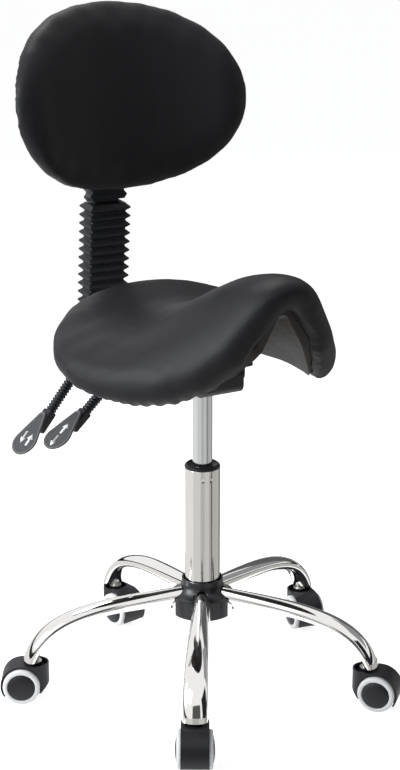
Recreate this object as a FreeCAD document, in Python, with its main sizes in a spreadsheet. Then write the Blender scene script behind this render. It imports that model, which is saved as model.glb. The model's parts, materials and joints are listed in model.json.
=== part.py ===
import FreeCAD
import Part
import Sketcher
import math
import os
from types import SimpleNamespace

# Saddle stool: a five-arm chrome base on twin-wheel casters, a gas column, two levers,
# a saddle seat and an adjustable back pad.
# The origin is on the column's axis at floor level, with Z up. The sitter faces -Y, so
# both levers are on their right hand, towards -X. Sizes are in millimetres and degrees.

# Driving sizes
SIZES = {
    # five-star base
    "base_turn": -123.7,
    "stem_circle": 244.0,
    "leg_wall": 1.6,
    "leg_end_height": 60.0,
    "leg_root_width": 20.0,
    "leg_root_height": 27.0,
    "leg_tip_width": 34.0,
    "leg_tip_height": 18.0,
    "leg_tip_over": 7.0,
    "leg_root_level": 131.4,
    "leg_root_slope": 1.5,
    "leg_tip_slope": 71.4,
    "leg_root_pull": 114.0,
    "leg_tip_pull": 72.0,
    "leg_weld_reach": 3.0,
    "socket_radius": 10.0,
    "socket_foot": 58.0,
    "socket_length": 38.0,
    "stem_radius": 5.5,
    "stem_play": 0.1,
    "stem_length": 22.0,
    "stem_lift": 0.3,
    "flange_radius": 9.0,
    # hub
    "hub_radius": 29.5,
    "hub_foot": 106.0,
    "hub_top": 142.0,
    "press_gap": 0.05,
    "cover_rim": 157.0,
    "cover_mouth": 27.0,
    "cover_radius": 45.0,
    "cover_foot": 107.0,
    "cover_shoulder": 133.0,
    "cover_neck": 6.0,
    "cover_flare": 24.0,
    "ledge_height": 3.0,
    "ledge_reach": 1.5,
    "cover_wall": 2.2,
    "arch_width": 25.0,
    "arch_top": 147.5,
    # column and gas spring
    "column_radius": 25.0,
    "column_wall": 1.5,
    "column_foot": 100.0,
    "column_top": 323.0,
    "floor_plate": 4.0,
    "dimple_turn": -118.9,
    "dimple_radius": 3.5,
    "dimple_depth": 0.8,
    "dimple_drop": 13.5,
    "dimple_step": 27.0,
    "bush_length": 90.0,
    "bush_lip": 5.5,
    "running_gap": 0.05,
    "spring_radius": 14.0,
    "spring_wall": 1.5,
    "spring_foot": 218.0,
    "spring_neck": 437.0,
    "spring_plug": 12.0,
    "taper_length": 36.0,
    "taper_radius": 12.8,
    "rod_radius": 5.0,
    "rod_top": 302.0,
    "rod_shoulder": 8.0,
    "clip_height": 3.0,
    "piston_height": 12.0,
    "bearing_radius": 14.0,
    "bearing_height": 6.0,
    # casters
    "wheel_radius": 26.0,
    "wheel_gap": 19.0,
    "wheel_width": 14.4,
    "cap_radius": 19.7,
    "cap_dome": 2.6,
    "tyre_round": 2.5,
    "axle_radius": 3.0,
    "axle_reach": 20.0,
    "axle_end_gap": 0.6,
    "trail": 19.2,
    "hood_top": 55.4,
    "hood_half": 18.8,
    "hood_skin": 1.6,
    "hood_gap": 1.2,
    "web_half": 7.5,
    "collar_wall": 2.4,
    "collar_depth": 8.0,
    "boss_radius": 9.0,
    "lip_angle": 33.0,
    "skirt_foot": 14.4,
    "skirt_reach": 8.0,
    "pin_radius": 4.0,
    "pin_foot": 36.0,
    "caster_turn_front": -121.5,
    "caster_turn_right": -49.9,
    "caster_turn_back_right": -101.5,
    "caster_turn_back_left": -79.5,
    "caster_turn_left": 149.7,
    # mechanism under the seat
    "case_half": 32.0,
    "case_front": 56.0,
    "case_back": 136.0,
    "case_over_neck": 3.0,
    "case_top": 477.0,
    "case_wall": 2.5,
    "case_corner": 6.0,
    "cone_radius": 19.0,
    "cone_height": 33.0,
    "seat_pivot_front": 44.0,
    "seat_pivot_level": 465.0,
    "seat_pin_radius": 4.0,
    "pin_reach": 5.0,
    "back_pivot_rear": 96.0,
    "back_pivot_level": 455.0,
    "back_pin_radius": 5.0,
    # levers
    "lever_radius": 4.0,
    "lever_play": 0.5,
    "lever_root": 22.0,
    "lever_level": 449.0,
    "lever_bend": 20.0,
    "lever_sweep": 15.0,
    "lift_lever_rear": 69.0,
    "lift_lever_reach": 103.0,
    "lift_lever_slope": 34.0,
    "tilt_lever_rear": 115.0,
    "tilt_lever_reach": 139.0,
    "tilt_lever_slope": 43.0,
    "boot_start": 8.0,
    "boot_length": 54.0,
    "boot_crest": 7.5,
    "boot_root": 5.7,
    "boot_ribs": 8.0,
    "boot_clearance": 0.3,
    "grip_length": 34.0,
    "grip_width": 17.0,
    "grip_height": 14.0,
    "grip_round": 4.0,
    "grip_socket": 20.0,
    "paddle_start": 8.0,
    "paddle_length": 70.0,
    "paddle_width": 41.0,
    "paddle_neck": 13.0,
    "paddle_thickness": 3.0,
    # seat plate and bolts
    "plate_half": 47.0,
    "plate_front": 62.0,
    "plate_back": 96.0,
    "plate_level": 478.0,
    "plate_thickness": 3.0,
    "plate_corner": 10.0,
    "ear_gap": 0.8,
    "ear_round": 9.0,
    "bolt_radius": 4.0,
    "bolt_length": 14.0,
    "bolt_head": 6.5,
    "bolt_head_height": 3.5,
    "bolt_half": 20.0,
    "bolt_front": -28.0,
    "bolt_back": 78.0,
    # saddle seat
    "seat_front": 219.0,
    "seat_back": 190.0,
    "seat_thickness": 53.0,
    "seat_half_width": 183.5,
    "seat_narrowing": 0.276,
    "seat_pinch": 0.0007,
    "seat_round_back": 2.35,
    "seat_round_front": 2.65,
    # the five crest heights are over the seat plate's foot
    "crest_tail": 60.0,
    "crest_dip": 36.0,
    "crest_middle": 54.0,
    "crest_rise": 107.0,
    "crest_pommel": 138.5,
    "drop_tail": 31.0,
    "drop_hip": 33.5,
    "drop_middle": 63.5,
    "drop_thigh": 124.0,
    "drop_front": 154.0,
    "bend_tail": 403.0,
    "bend_hip": 245.0,
    "bend_middle": 116.0,
    "bend_thigh": 55.5,
    "bend_front": 31.0,
    "least_bend": 4.0,
    "board_thickness": 12.0,
    "board_inset": 24.0,
    "board_gap": 0.4,
    "block_half": 34.0,
    "block_inset": 3.0,
    # back support
    "bar_width": 40.0,
    "bar_thickness": 8.0,
    "knuckle_radius": 9.0,
    "bar_foot_rear": 293.0,
    "bar_kink_rear": 274.5,
    "bar_kink_level": 664.0,
    "bar_top_level": 838.0,
    "bar_bend": 34.0,
    "bar_kink_bend": 60.0,
    "sleeve_width": 68.0,
    "sleeve_depth": 39.0,
    "sleeve_fold": 5.5,
    "sleeve_pitch": 13.2,
    "sleeve_ribs": 12.0,
    "sleeve_corner": 7.0,
    "sleeve_gap": 0.4,
    "sleeve_foot": 497.0,
    "sleeve_wall": 3.0,
    "sleeve_cuff": 5.0,
    "sleeve_joint": 4.5,
    "upper_width": 62.0,
    "upper_depth": 24.0,
    "upper_fold": 4.0,
    "upper_corner": 3.5,
    "upper_ribs": 6.0,
    # back pad
    "back_rear": 247.0,
    "back_level": 813.0,
    "back_lean": 8.5,
    "back_arc": 397.0,
    "back_height": 271.0,
    "back_wrap": 250.0,
    "back_round": 2.12,
    "back_thickness": 29.0,
    "back_sag": 13.0,
    "back_crown": 5.0,
    "shell_thickness": 4.5,
    "shell_inset": 5.0,
    "shell_gap": 0.4,
    "bracket_wall": 3.5,
    "bracket_height": 52.0,
    "bracket_low": 62.0,
    "bracket_gap": 0.2,
}
# Counts and shares that stay as they are
LEG_COUNT = 5
LEG_STATIONS = 6
SOCKET_SHARE = 0.9
DIMPLES = 4
ARCH_ROUND = 1.0001
TAPER_SLOPE = 0.0131
DOME_JOIN = 30.0
SKIN_END = 132.0
BIG = 1000.0
PADDLE_ROUND = 0.9
PADDLE_SHOULDER = 0.9
PADDLE_CHEEK = 0.62
RIB_STEPS = ((0.05, 0.0), (0.32, 1.0), (0.68, 1.0), (0.95, 0.0))
EDGE_POWER = 8
SLIM_LIMIT = 1.7
ARC_LIMIT = 0.6
BACK_EDGE_POWER = 16
HALF_STATIONS = 6
OPEN_END = -1.0
END_PLACE = 0.995

Vector = FreeCAD.Vector
DOC = FreeCAD.newDocument("SaddleStool")
PARTS = []


# Values that carry the spreadsheet formula they come from
class Size(float):
    def __new__(cls, value, formula):
        size = super().__new__(cls, value)
        size.formula = formula
        return size

    def __add__(self, other):
        return Size(float(self) + float(other), f"({self.formula} + {formula_of(other)})")

    def __radd__(self, other):
        return Size(float(other) + float(self), f"({formula_of(other)} + {self.formula})")

    def __sub__(self, other):
        return Size(float(self) - float(other), f"({self.formula} - {formula_of(other)})")

    def __rsub__(self, other):
        return Size(float(other) - float(self), f"({formula_of(other)} - {self.formula})")

    def __mul__(self, other):
        return Size(float(self) * float(other), f"({self.formula} * {formula_of(other)})")

    def __rmul__(self, other):
        return self * other

    def __truediv__(self, other):
        return Size(float(self) / float(other), f"({self.formula} / {formula_of(other)})")

    def __neg__(self):
        return Size(-float(self), f"(0 - {self.formula})")


def formula_of(value):
    if isinstance(value, Size):
        return value.formula
    return f"({float(value)!r})"


def sine(angle):
    return Size(math.sin(math.radians(angle)), f"sin({formula_of(angle)})")


def cosine(angle):
    return Size(math.cos(math.radians(angle)), f"cos({formula_of(angle)})")


def read_sheet():
    sheet = DOC.addObject("Spreadsheet::Sheet", "Sizes")
    for row, (name, value) in enumerate(SIZES.items(), start=1):
        sheet.set(f"A{row}", name)
        sheet.set(f"B{row}", str(value))
        sheet.setAlias(f"B{row}", name)
    DOC.recompute()
    return SimpleNamespace(**{name: Size(sheet.get(name), f"Sizes.{name}") for name in SIZES})


S = read_sheet()


# Document helpers
def bind(thing, path, value):
    thing.setExpression(path, formula_of(value))


def label(thing, name):
    thing.Label = name
    PARTS.append(thing)
    return thing


def new_body(name):
    return label(DOC.addObject("PartDesign::Body", name), name)


def new_feature(name, shape):
    feature = label(DOC.addObject("Part::Feature", name), name)
    feature.Shape = shape
    return feature


def place(thing, position, turn=0.0):
    thing.Placement = FreeCAD.Placement(Vector(*position), FreeCAD.Rotation(Vector(0, 0, 1), float(turn) or 360.0))
    for axis, value in zip("xyz", position):
        bind(thing, f"Placement.Base.{axis}", value)
    if turn:
        bind(thing, "Placement.Rotation.Angle", turn)


def origin_feature(body, role):
    return next(feature for feature in body.Origin.OriginFeatures if feature.Role == role)


def sketch_on(body, role, offset=0.0):
    sketch = body.newObject("Sketcher::SketchObject", f"{body.Name}_sketch")
    sketch.AttachmentSupport = [(origin_feature(body, role), "")]
    sketch.MapMode = "FlatFace"
    bind(sketch, "AttachmentOffset.Base.z", offset)
    return sketch


# Sketch helpers: a corner is (x, y) or (x, y, radius), and an arc between two corners is
# given as ("arc", radius, side), where side 1 bulges to the right of the way along
def constrain(sketch, kind, *places):
    *places, value = places
    index = sketch.addConstraint(Sketcher.Constraint(kind, *places, float(value)))
    sketch.setExpression(f"Constraints[{index}]", formula_of(value))


def pin_point(sketch, geometry, end, x, y):
    constrain(sketch, "DistanceX", -1, 1, geometry, end, x)
    constrain(sketch, "DistanceY", -1, 1, geometry, end, y)


def circle(sketch, x, y, radius):
    index = sketch.addGeometry(Part.Circle(Vector(x, y, 0), Vector(0, 0, 1), radius))
    pin_point(sketch, index, 3, x, y)
    constrain(sketch, "Radius", index, radius)
    return sketch


def arc_geometry(start, end, radius, side):
    middle = (start + end) / 2
    along = end - start
    rise = math.sqrt(max(float(radius) ** 2 - (along.Length / 2) ** 2, 0.0))
    across = Vector(along.y, -along.x, 0).normalize()
    centre = middle - across * rise * side
    first, last = (start, end) if side > 0 else (end, start)
    angles = [math.atan2(point.y - centre.y, point.x - centre.x) for point in (first, last)]
    return Part.ArcOfCircle(Part.Circle(centre, Vector(0, 0, 1), radius), *angles)


def corner_points(previous, corner, following):
    point = Vector(corner[0], corner[1], 0)
    if len(corner) == 2:
        return point, point
    back = (Vector(previous[0], previous[1], 0) - point).normalize()
    ahead = (Vector(following[0], following[1], 0) - point).normalize()
    reach = corner[2] / math.tan(back.getAngle(ahead) / 2)
    return point + back * float(reach), point + ahead * float(reach)


def outline(sketch, items, closed=True):
    corners = [item for item in items if item[0] != "arc"]
    bulges = {}
    for index, item in enumerate(items):
        if item[0] == "arc":
            bulges[sum(1 for other in items[:index] if other[0] != "arc") - 1] = item[1:]
    count = len(corners)
    ends = [corner_points(corners[i - 1], corners[i], corners[(i + 1) % count]) for i in range(count)]
    segments = []
    for index in range(count if closed else count - 1):
        start, end = ends[index][1], ends[(index + 1) % count][0]
        if index in bulges:
            radius, side = bulges[index]
            number = sketch.addGeometry(arc_geometry(start, end, radius, side))
            constrain(sketch, "Radius", number, radius)
            segments.append((number, 1, 2) if side > 0 else (number, 2, 1))
        else:
            segments.append((sketch.addGeometry(Part.LineSegment(start, end)), 1, 2))
    for index, corner in enumerate(corners):
        if not closed and index == 0:
            pin_point(sketch, segments[0][0], segments[0][1], *corner)
            continue
        before = segments[index - 1]
        if not closed and index == count - 1:
            pin_point(sketch, before[0], before[2], *corner)
            continue
        after = segments[index]
        if len(corner) == 2:
            sketch.addConstraint(Sketcher.Constraint("Coincident", before[0], before[2], after[0], after[1]))
            pin_point(sketch, after[0], after[1], *corner)
            continue
        round_corner(sketch, corner, ends[index], before, after)
    return sketch


def round_corner(sketch, corner, ends, before, after):
    x, y, radius = corner
    into = ends[0] - Vector(x, y, 0)
    out = ends[1] - Vector(x, y, 0)
    side = 1 if into.cross(out).z < 0 else -1
    arc = sketch.addGeometry(arc_geometry(ends[0], ends[1], radius, side))
    start, end = (1, 2) if side > 0 else (2, 1)
    sketch.addConstraint(Sketcher.Constraint("Tangent", before[0], before[2], arc, start))
    sketch.addConstraint(Sketcher.Constraint("Tangent", arc, end, after[0], after[1]))
    constrain(sketch, "Radius", arc, radius)
    point = sketch.addGeometry(Part.Point(Vector(x, y, 0)), True)
    pin_point(sketch, point, 1, x, y)
    sketch.addConstraint(Sketcher.Constraint("PointOnObject", point, 1, before[0]))
    sketch.addConstraint(Sketcher.Constraint("PointOnObject", point, 1, after[0]))


# Feature helpers
def extrude(body, kind, sketch, length, symmetric, backwards):
    feature = body.newObject(f"PartDesign::{kind}", f"{body.Name}_{kind.lower()}")
    feature.Profile = sketch
    feature.SideType = "Symmetric" if symmetric else "One side"
    feature.Reversed = backwards
    bind(feature, "Length", length)
    return feature


def pad(body, sketch, length, symmetric=False, backwards=False):
    return extrude(body, "Pad", sketch, length, symmetric, backwards)


def pocket(body, sketch, length, symmetric=False, backwards=False):
    return extrude(body, "Pocket", sketch, length, symmetric, backwards)


def turn(body, kind, sketch, axis):
    feature = body.newObject(f"PartDesign::{kind}", f"{body.Name}_{kind.lower()}")
    feature.Profile = sketch
    feature.ReferenceAxis = (sketch, [axis])
    feature.Angle = 360.0
    return feature


def revolve(body, sketch, axis="V_Axis"):
    return turn(body, "Revolution", sketch, axis)


def groove(body, sketch, axis="V_Axis"):
    return turn(body, "Groove", sketch, axis)


def repeat_round(body, feature, count):
    pattern = body.newObject("PartDesign::PolarPattern", f"{body.Name}_pattern")
    pattern.Originals = [feature]
    pattern.Axis = (origin_feature(body, "Z_Axis"), [""])
    pattern.Angle = 360.0
    pattern.Occurrences = count
    body.Tip = pattern
    return pattern


def turned_body(name, items):
    body = new_body(name)
    revolve(body, outline(sketch_on(body, "XZ_Plane"), items))
    return body


# Base arms
def bezier(points, share):
    rest = 1 - share
    weights = (rest ** 3, 3 * rest ** 2 * share, 3 * rest * share ** 2, share ** 3)
    return sum((point * weight for point, weight in zip(points, weights)), Vector())


def leg_controls():
    start = Vector(S.hub_radius - S.leg_weld_reach, 0, S.leg_root_level)
    end = Vector(S.stem_circle + S.leg_tip_over, 0, S.leg_end_height)
    root_way = Vector(math.cos(math.radians(S.leg_root_slope)), 0, -math.sin(math.radians(S.leg_root_slope)))
    tip_way = Vector(math.cos(math.radians(S.leg_tip_slope)), 0, -math.sin(math.radians(S.leg_tip_slope)))
    return [start, start + root_way * float(S.leg_root_pull), end - tip_way * float(S.leg_tip_pull), end]


def leg_tube(inset):
    controls = leg_controls()
    rings = []
    for step in range(LEG_STATIONS + 1):
        share = step / (LEG_STATIONS - 1)
        centre = bezier(controls, share)
        way = (bezier(controls, share + 0.01) - bezier(controls, share - 0.01)).normalize()
        grown = 1 - (1 - min(share, 1.0)) ** 2
        half_width = (S.leg_root_width + (S.leg_tip_width - S.leg_root_width) * grown) / 2 - inset
        half_height = (S.leg_root_height + (S.leg_tip_height - S.leg_root_height) * grown) / 2 - inset
        up = Vector(-way.z, 0, way.x)
        rings.append(oval_wire(centre, Vector(0, 1, 0), up, half_width, half_height))
    return Part.makeLoft(rings, True, True)


def oval_wire(centre, across, up, half_width, half_height):
    arcs = []
    for quarter in range(4):
        angles = [math.radians(quarter * 90 - 45 + step * 45) for step in range(3)]
        arcs.append(Part.Arc(*[
            centre + across * float(half_width * math.cos(angle)) + up * float(half_height * math.sin(angle))
            for angle in angles]).toShape())
    return Part.Wire(arcs)


def leg_shape():
    outer = leg_tube(0)
    controls = leg_controls()
    way = controls[3] - controls[2]
    middle = bezier(controls, SOCKET_SHARE)
    tilt = FreeCAD.Rotation(Vector(0, 1, 0), math.degrees(math.atan2(-way.z, way.x)))
    under = Part.makeBox(BIG, BIG, BIG, Vector(-BIG / 2, -BIG / 2, -BIG))
    under.Placement = FreeCAD.Placement(middle, tilt)
    socket = Part.makeCylinder(S.socket_radius, S.socket_length, Vector(S.stem_circle, 0, S.socket_foot))
    socket = socket.common(outer).fuse(socket.common(under))
    floor = Part.makeBox(BIG, BIG, BIG, Vector(0, -BIG / 2, S.leg_end_height - BIG))
    leg = outer.cut(leg_tube(S.leg_wall)).cut(floor).fuse(socket)
    bore = Part.makeCylinder(S.stem_radius + S.stem_play, S.stem_length, Vector(S.stem_circle, 0, S.socket_foot))
    hub = Part.makeCylinder(S.hub_radius + S.press_gap, BIG)
    return leg.cut(bore).cut(hub)


def build_legs():
    shape = leg_shape()
    for number in range(LEG_COUNT):
        leg = new_feature(f"leg_{number + 1}", shape)
        place(leg, (0, 0, 0), S.base_turn + number * 360.0 / LEG_COUNT)


# Hub, column and gas spring
def ring(name, inner, outer, foot, top):
    return turned_body(name, [(inner, foot), (outer, foot), (outer, top), (inner, top)])


def build_hub():
    grip = S.column_radius + S.press_gap
    ring("hub_core", grip, S.hub_radius, S.hub_foot, S.hub_top)
    wall = S.cover_wall
    neck = S.cover_mouth + wall
    cover = turned_body("hub_cover", [
        (S.cover_mouth, S.cover_rim),
        (S.cover_mouth, S.hub_top + S.ledge_height),
        (grip, S.hub_top + S.ledge_height),
        (grip, S.hub_top),
        (S.hub_radius + S.ledge_reach, S.hub_top),
        (S.cover_radius - wall, S.cover_shoulder - wall),
        (S.cover_radius - wall, S.cover_foot),
        (S.cover_radius, S.cover_foot),
        (S.cover_radius, S.cover_shoulder),
        ("arc", S.cover_flare, -1),
        (neck, S.cover_rim - S.cover_neck),
        (neck, S.cover_rim)])
    half = S.arch_width / 2
    arch = outline(sketch_on(cover, "YZ_Plane"), [
        (-half, S.cover_foot - 1),
        (half, S.cover_foot - 1),
        (half, S.arch_top - half),
        ("arc", half * ARCH_ROUND, 1),
        (-half, S.arch_top - half)])
    cut = pocket(cover, arch, S.cover_radius + 1, backwards=True)
    repeat_round(cover, cut, LEG_COUNT)
    place(cover, (0, 0, 0), S.base_turn)


def build_column():
    inner = S.column_radius - S.column_wall
    shaft = S.rod_radius + S.running_gap
    plate_top = S.column_foot + S.floor_plate
    tube = turned_body("column_tube", [
        (shaft, S.column_foot),
        (S.column_radius, S.column_foot),
        (S.column_radius, S.column_top),
        (inner, S.column_top),
        (inner, plate_top),
        (shaft, plate_top)])
    ball = (S.dimple_radius * S.dimple_radius + S.dimple_depth * S.dimple_depth) / (S.dimple_depth * 2)
    away = S.column_radius - S.dimple_depth + ball
    for step in range(DIMPLES):
        angle = S.dimple_turn + S.dimple_step * (step % 2) + 180.0 * (step // 2)
        dent = tube.newObject("PartDesign::SubtractiveSphere", "column_dimple")
        bind(dent, "Radius", ball)
        for axis, value in zip("xyz", (away * cosine(angle), away * sine(angle), S.column_top - S.dimple_drop)):
            bind(dent, f"Placement.Base.{axis}", value)
    bush_inner = S.spring_radius + S.running_gap
    bush_outer = inner - S.press_gap
    turned_body("guide_bush", [
        (bush_inner, S.column_top - S.bush_length),
        (bush_outer, S.column_top - S.bush_length),
        (bush_outer, S.column_top),
        (S.column_radius, S.column_top),
        (S.column_radius, S.column_top + S.bush_lip / 2),
        (S.column_radius - S.bush_lip / 2, S.column_top + S.bush_lip),
        (bush_inner + S.bush_lip, S.column_top + S.bush_lip / 2),
        (bush_inner, S.column_top + S.bush_lip / 4)])
    ring("thrust_bearing", shaft, S.bearing_radius, plate_top, plate_top + S.bearing_height)


def taper_radius(height):
    return S.taper_radius - height * TAPER_SLOPE


def build_gas_spring():
    bearing_top = S.column_foot + S.floor_plate + S.bearing_height + S.running_gap
    clip_top = S.column_foot - S.running_gap
    bore = S.spring_radius - S.spring_wall
    piston = bore - S.running_gap
    turned_body("piston_rod", [
        (0, clip_top - S.clip_height),
        (S.rod_shoulder, clip_top - S.clip_height),
        (S.rod_shoulder, clip_top),
        (S.rod_radius, clip_top),
        (S.rod_radius, bearing_top),
        (S.rod_shoulder, bearing_top),
        (S.rod_shoulder, bearing_top + S.clip_height),
        (S.rod_radius, bearing_top + S.clip_height),
        (S.rod_radius, S.rod_top - S.piston_height),
        (piston, S.rod_top - S.piston_height),
        (piston, S.rod_top),
        (0, S.rod_top)])
    guide = S.rod_radius + S.running_gap
    turned_body("gas_spring_tube", [
        (guide, S.spring_foot),
        (S.spring_radius, S.spring_foot),
        (S.spring_radius, S.spring_neck),
        (taper_radius(0), S.spring_neck),
        (taper_radius(S.taper_length), S.spring_neck + S.taper_length),
        (0, S.spring_neck + S.taper_length),
        (0, S.spring_neck - S.spring_plug),
        (bore, S.spring_neck - S.spring_plug),
        (bore, S.spring_foot + S.spring_plug),
        (guide, S.spring_foot + S.spring_plug)])


# Casters, each in its own frame: stem axis at the origin, wheels trailing towards +X
def build_hood(name):
    hood = new_body(name)
    half = S.hood_half
    top = S.hood_top
    room = S.wheel_radius + S.hood_gap
    dome = top - S.wheel_radius
    profile = outline(sketch_on(hood, "XZ_Plane"), [
        (-half, top),
        (-half, S.wheel_radius),
        (-S.skirt_reach, S.skirt_foot),
        (S.trail + room * cosine(S.lip_angle), S.wheel_radius - room * sine(S.lip_angle)),
        (S.trail + dome * cosine(S.lip_angle), S.wheel_radius - dome * sine(S.lip_angle)),
        ("arc", dome, 1),
        (S.trail + dome * cosine(DOME_JOIN), S.wheel_radius + dome * sine(DOME_JOIN)),
        ("arc", dome, 1),
        (S.trail, top)])
    pad(hood, profile, half * 2, symmetric=True)
    cup = sketch_on(hood, "XY_Plane", top)
    circle(cup, 0, 0, half - S.collar_wall)
    circle(cup, 0, 0, S.boss_radius)
    pocket(hood, cup, S.collar_depth)
    skin = room + S.hood_skin
    cup_floor = outline(sketch_on(hood, "XZ_Plane"), [
        (S.trail, S.wheel_radius + room),
        (S.trail, S.wheel_radius + skin),
        ("arc", skin, 1),
        (S.trail + skin * cosine(SKIN_END), S.wheel_radius + skin * sine(SKIN_END)),
        (S.trail + room * cosine(SKIN_END), S.wheel_radius + room * sine(SKIN_END)),
        ("arc", room, -1)])
    pad(hood, cup_floor, half * 2, symmetric=True)
    plan = outline(sketch_on(hood, "XY_Plane"), [
        (-half - 1, -half - 1),
        (0, -half - 1),
        (0, -half),
        ("arc", half, -1),
        (-half, 0),
        ("arc", half, -1),
        (0, half),
        (0, half + 1),
        (-half - 1, half + 1)])
    pocket(hood, plan, top + 1, backwards=True)
    for side in (-1, 1):
        wheel_room = circle(sketch_on(hood, "XZ_Plane", S.web_half * side), S.trail, S.wheel_radius, room)
        pocket(hood, wheel_room, half, backwards=side > 0)
    hole = circle(sketch_on(hood, "XZ_Plane"), S.trail, S.wheel_radius, S.axle_radius + S.press_gap)
    pocket(hood, hole, half * 2, symmetric=True)
    bore = circle(sketch_on(hood, "XY_Plane", top), 0, 0, S.pin_radius + S.running_gap)
    pocket(hood, bore, top - S.pin_foot + S.running_gap)
    return hood


def build_axle(name):
    axle = new_body(name)
    axis = circle(sketch_on(axle, "XZ_Plane"), S.trail, S.wheel_radius, S.axle_radius)
    pad(axle, axis, S.axle_reach * 2, symmetric=True)
    return axle


# A wheel's profile is (along the axle, radius), with the axle's middle at the origin
def build_wheel(name):
    wheel = new_body(name)
    near = S.wheel_gap / 2
    face = near + S.wheel_width
    bore = S.axle_radius + S.running_gap
    end = S.axle_reach + S.axle_end_gap
    curve = (S.cap_radius * S.cap_radius + S.cap_dome * S.cap_dome) / (S.cap_dome * 2)
    profile = outline(sketch_on(wheel, "YZ_Plane"), [
        (near, bore),
        (near, S.cap_radius),
        (face, S.cap_radius),
        ("arc", curve, -1),
        (face + S.cap_dome, 0),
        (end, 0),
        (end, bore)])
    revolve(wheel, profile, "H_Axis")
    return wheel


def build_tyre(name):
    tyre = new_body(name)
    near = S.wheel_gap / 2
    face = near + S.wheel_width
    profile = outline(sketch_on(tyre, "YZ_Plane"), [
        (near, S.cap_radius),
        (near, S.wheel_radius),
        (face - S.tyre_round, S.wheel_radius),
        (face, S.wheel_radius - S.tyre_round),
        (face, S.cap_radius)])
    revolve(tyre, profile, "H_Axis")
    return tyre


def build_casters():
    headings = (S.caster_turn_front, S.caster_turn_right, S.caster_turn_back_right, S.caster_turn_back_left,
                S.caster_turn_left)
    for number, heading in enumerate(headings):
        arm = S.base_turn + number * 360.0 / LEG_COUNT
        stem = (S.stem_circle * cosine(arm), S.stem_circle * sine(arm), 0)
        place(build_hood(f"caster_{number + 1}_hood"), stem, heading)
        place(build_axle(f"caster_{number + 1}_axle"), stem, heading)
        hub = (stem[0] + S.trail * cosine(heading), stem[1] + S.trail * sine(heading), S.wheel_radius)
        for side, flip in (("left", 0.0), ("right", 180.0)):
            place(build_wheel(f"caster_{number + 1}_wheel_{side}"), hub, heading + flip)
            place(build_tyre(f"caster_{number + 1}_tyre_{side}"), hub, heading + flip)


def build_stems():
    seat = S.hood_top + S.stem_lift
    pin = Part.makeCylinder(S.pin_radius, seat - S.pin_foot, Vector(0, 0, S.pin_foot))
    flange = Part.makeCylinder(S.flange_radius, S.socket_foot - seat, Vector(0, 0, seat))
    stem = Part.makeCylinder(S.stem_radius, S.stem_length - 1, Vector(0, 0, S.socket_foot))
    shape = pin.fuse(flange).fuse(stem)
    stems = []
    for number in range(LEG_COUNT):
        arm = math.radians(S.base_turn + number * 360.0 / LEG_COUNT)
        spot = Vector(S.stem_circle * math.cos(arm), S.stem_circle * math.sin(arm), 0)
        stems.append(shape.translated(spot))
    new_feature("caster_stems", Part.makeCompound(stems))


# Mechanism under the seat; a side profile is (y, z), and y grows towards the sitter's back
def build_mechanism():
    case = new_body("mechanism_base")
    nose = S.case_top - S.seat_pivot_level
    front = -S.seat_pivot_front - nose
    wall = S.case_wall
    foot = S.spring_neck + S.case_over_neck
    outer = outline(sketch_on(case, "YZ_Plane"), [
        (S.case_back, S.case_top),
        (front + nose, S.case_top),
        ("arc", nose, 1),
        (front, S.seat_pivot_level),
        (front, foot, nose),
        (S.case_back, foot, S.case_corner)])
    pad(case, outer, S.case_half * 2, symmetric=True)
    inner = outline(sketch_on(case, "YZ_Plane"), [
        (S.case_back + 1, S.case_top + 1),
        (front + wall, S.case_top + 1),
        (front + wall, foot + wall, nose - wall),
        (S.case_back + 1, foot + wall)])
    pocket(case, inner, (S.case_half - wall) * 2, symmetric=True)
    cone = sketch_on(case, "XY_Plane", foot)
    circle(cone, 0, 0, S.cone_radius)
    pad(case, cone, S.cone_height)
    neck = taper_radius(0) + S.press_gap
    end = taper_radius(S.taper_length) + S.press_gap
    socket = outline(sketch_on(case, "XZ_Plane"), [
        (0, foot - 1),
        (S.spring_radius + 1, foot - 1),
        (neck, foot),
        (end, S.spring_neck + S.taper_length),
        (0, S.spring_neck + S.taper_length)])
    groove(case, socket)
    crossings = ((S.lift_lever_rear, S.lever_level), (S.tilt_lever_rear, S.lever_level))
    for rear, level in crossings:
        hole = circle(sketch_on(case, "YZ_Plane"), rear, level, S.lever_radius + S.lever_play)
        pocket(case, hole, S.case_half + 1)
    for rear, level, radius, half in (
            (-S.seat_pivot_front, S.seat_pivot_level, S.seat_pin_radius, S.case_half + S.pin_reach),
            (S.back_pivot_rear, S.back_pivot_level, S.back_pin_radius, S.case_half + 1)):
        pin = circle(sketch_on(case, "YZ_Plane"), rear, level, radius)
        pad(case, pin, half * 2, symmetric=True)


def build_seat_plate():
    plate = new_body("seat_plate")
    half = S.plate_half
    sheet = outline(sketch_on(plate, "XY_Plane", S.plate_level), [
        (-half, -S.plate_front, S.plate_corner),
        (half, -S.plate_front, S.plate_corner),
        (half, S.plate_back, S.plate_corner),
        (-half, S.plate_back, S.plate_corner)])
    pad(plate, sheet, S.plate_thickness)
    top = S.plate_level + S.plate_thickness
    ear = S.ear_round
    near = S.case_half + S.ear_gap
    for side in (-1, 1):
        flank = sketch_on(plate, "YZ_Plane", near * side)
        outline(flank, [
            (-S.seat_pivot_front - ear, top),
            (-S.seat_pivot_front - ear, S.seat_pivot_level),
            ("arc", ear * ARCH_ROUND, 1),
            (-S.seat_pivot_front + ear, S.seat_pivot_level),
            (-S.seat_pivot_front + ear, top)])
        pad(plate, flank, S.plate_thickness, backwards=side < 0)
    bore = circle(sketch_on(plate, "YZ_Plane"), -S.seat_pivot_front, S.seat_pivot_level,
                  S.seat_pin_radius + S.running_gap)
    pocket(plate, bore, half * 2, symmetric=True)
    for x, y in bolt_spots():
        hole = circle(sketch_on(plate, "XY_Plane", top), x, y, S.bolt_radius + S.press_gap)
        pocket(plate, hole, S.plate_thickness)


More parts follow.
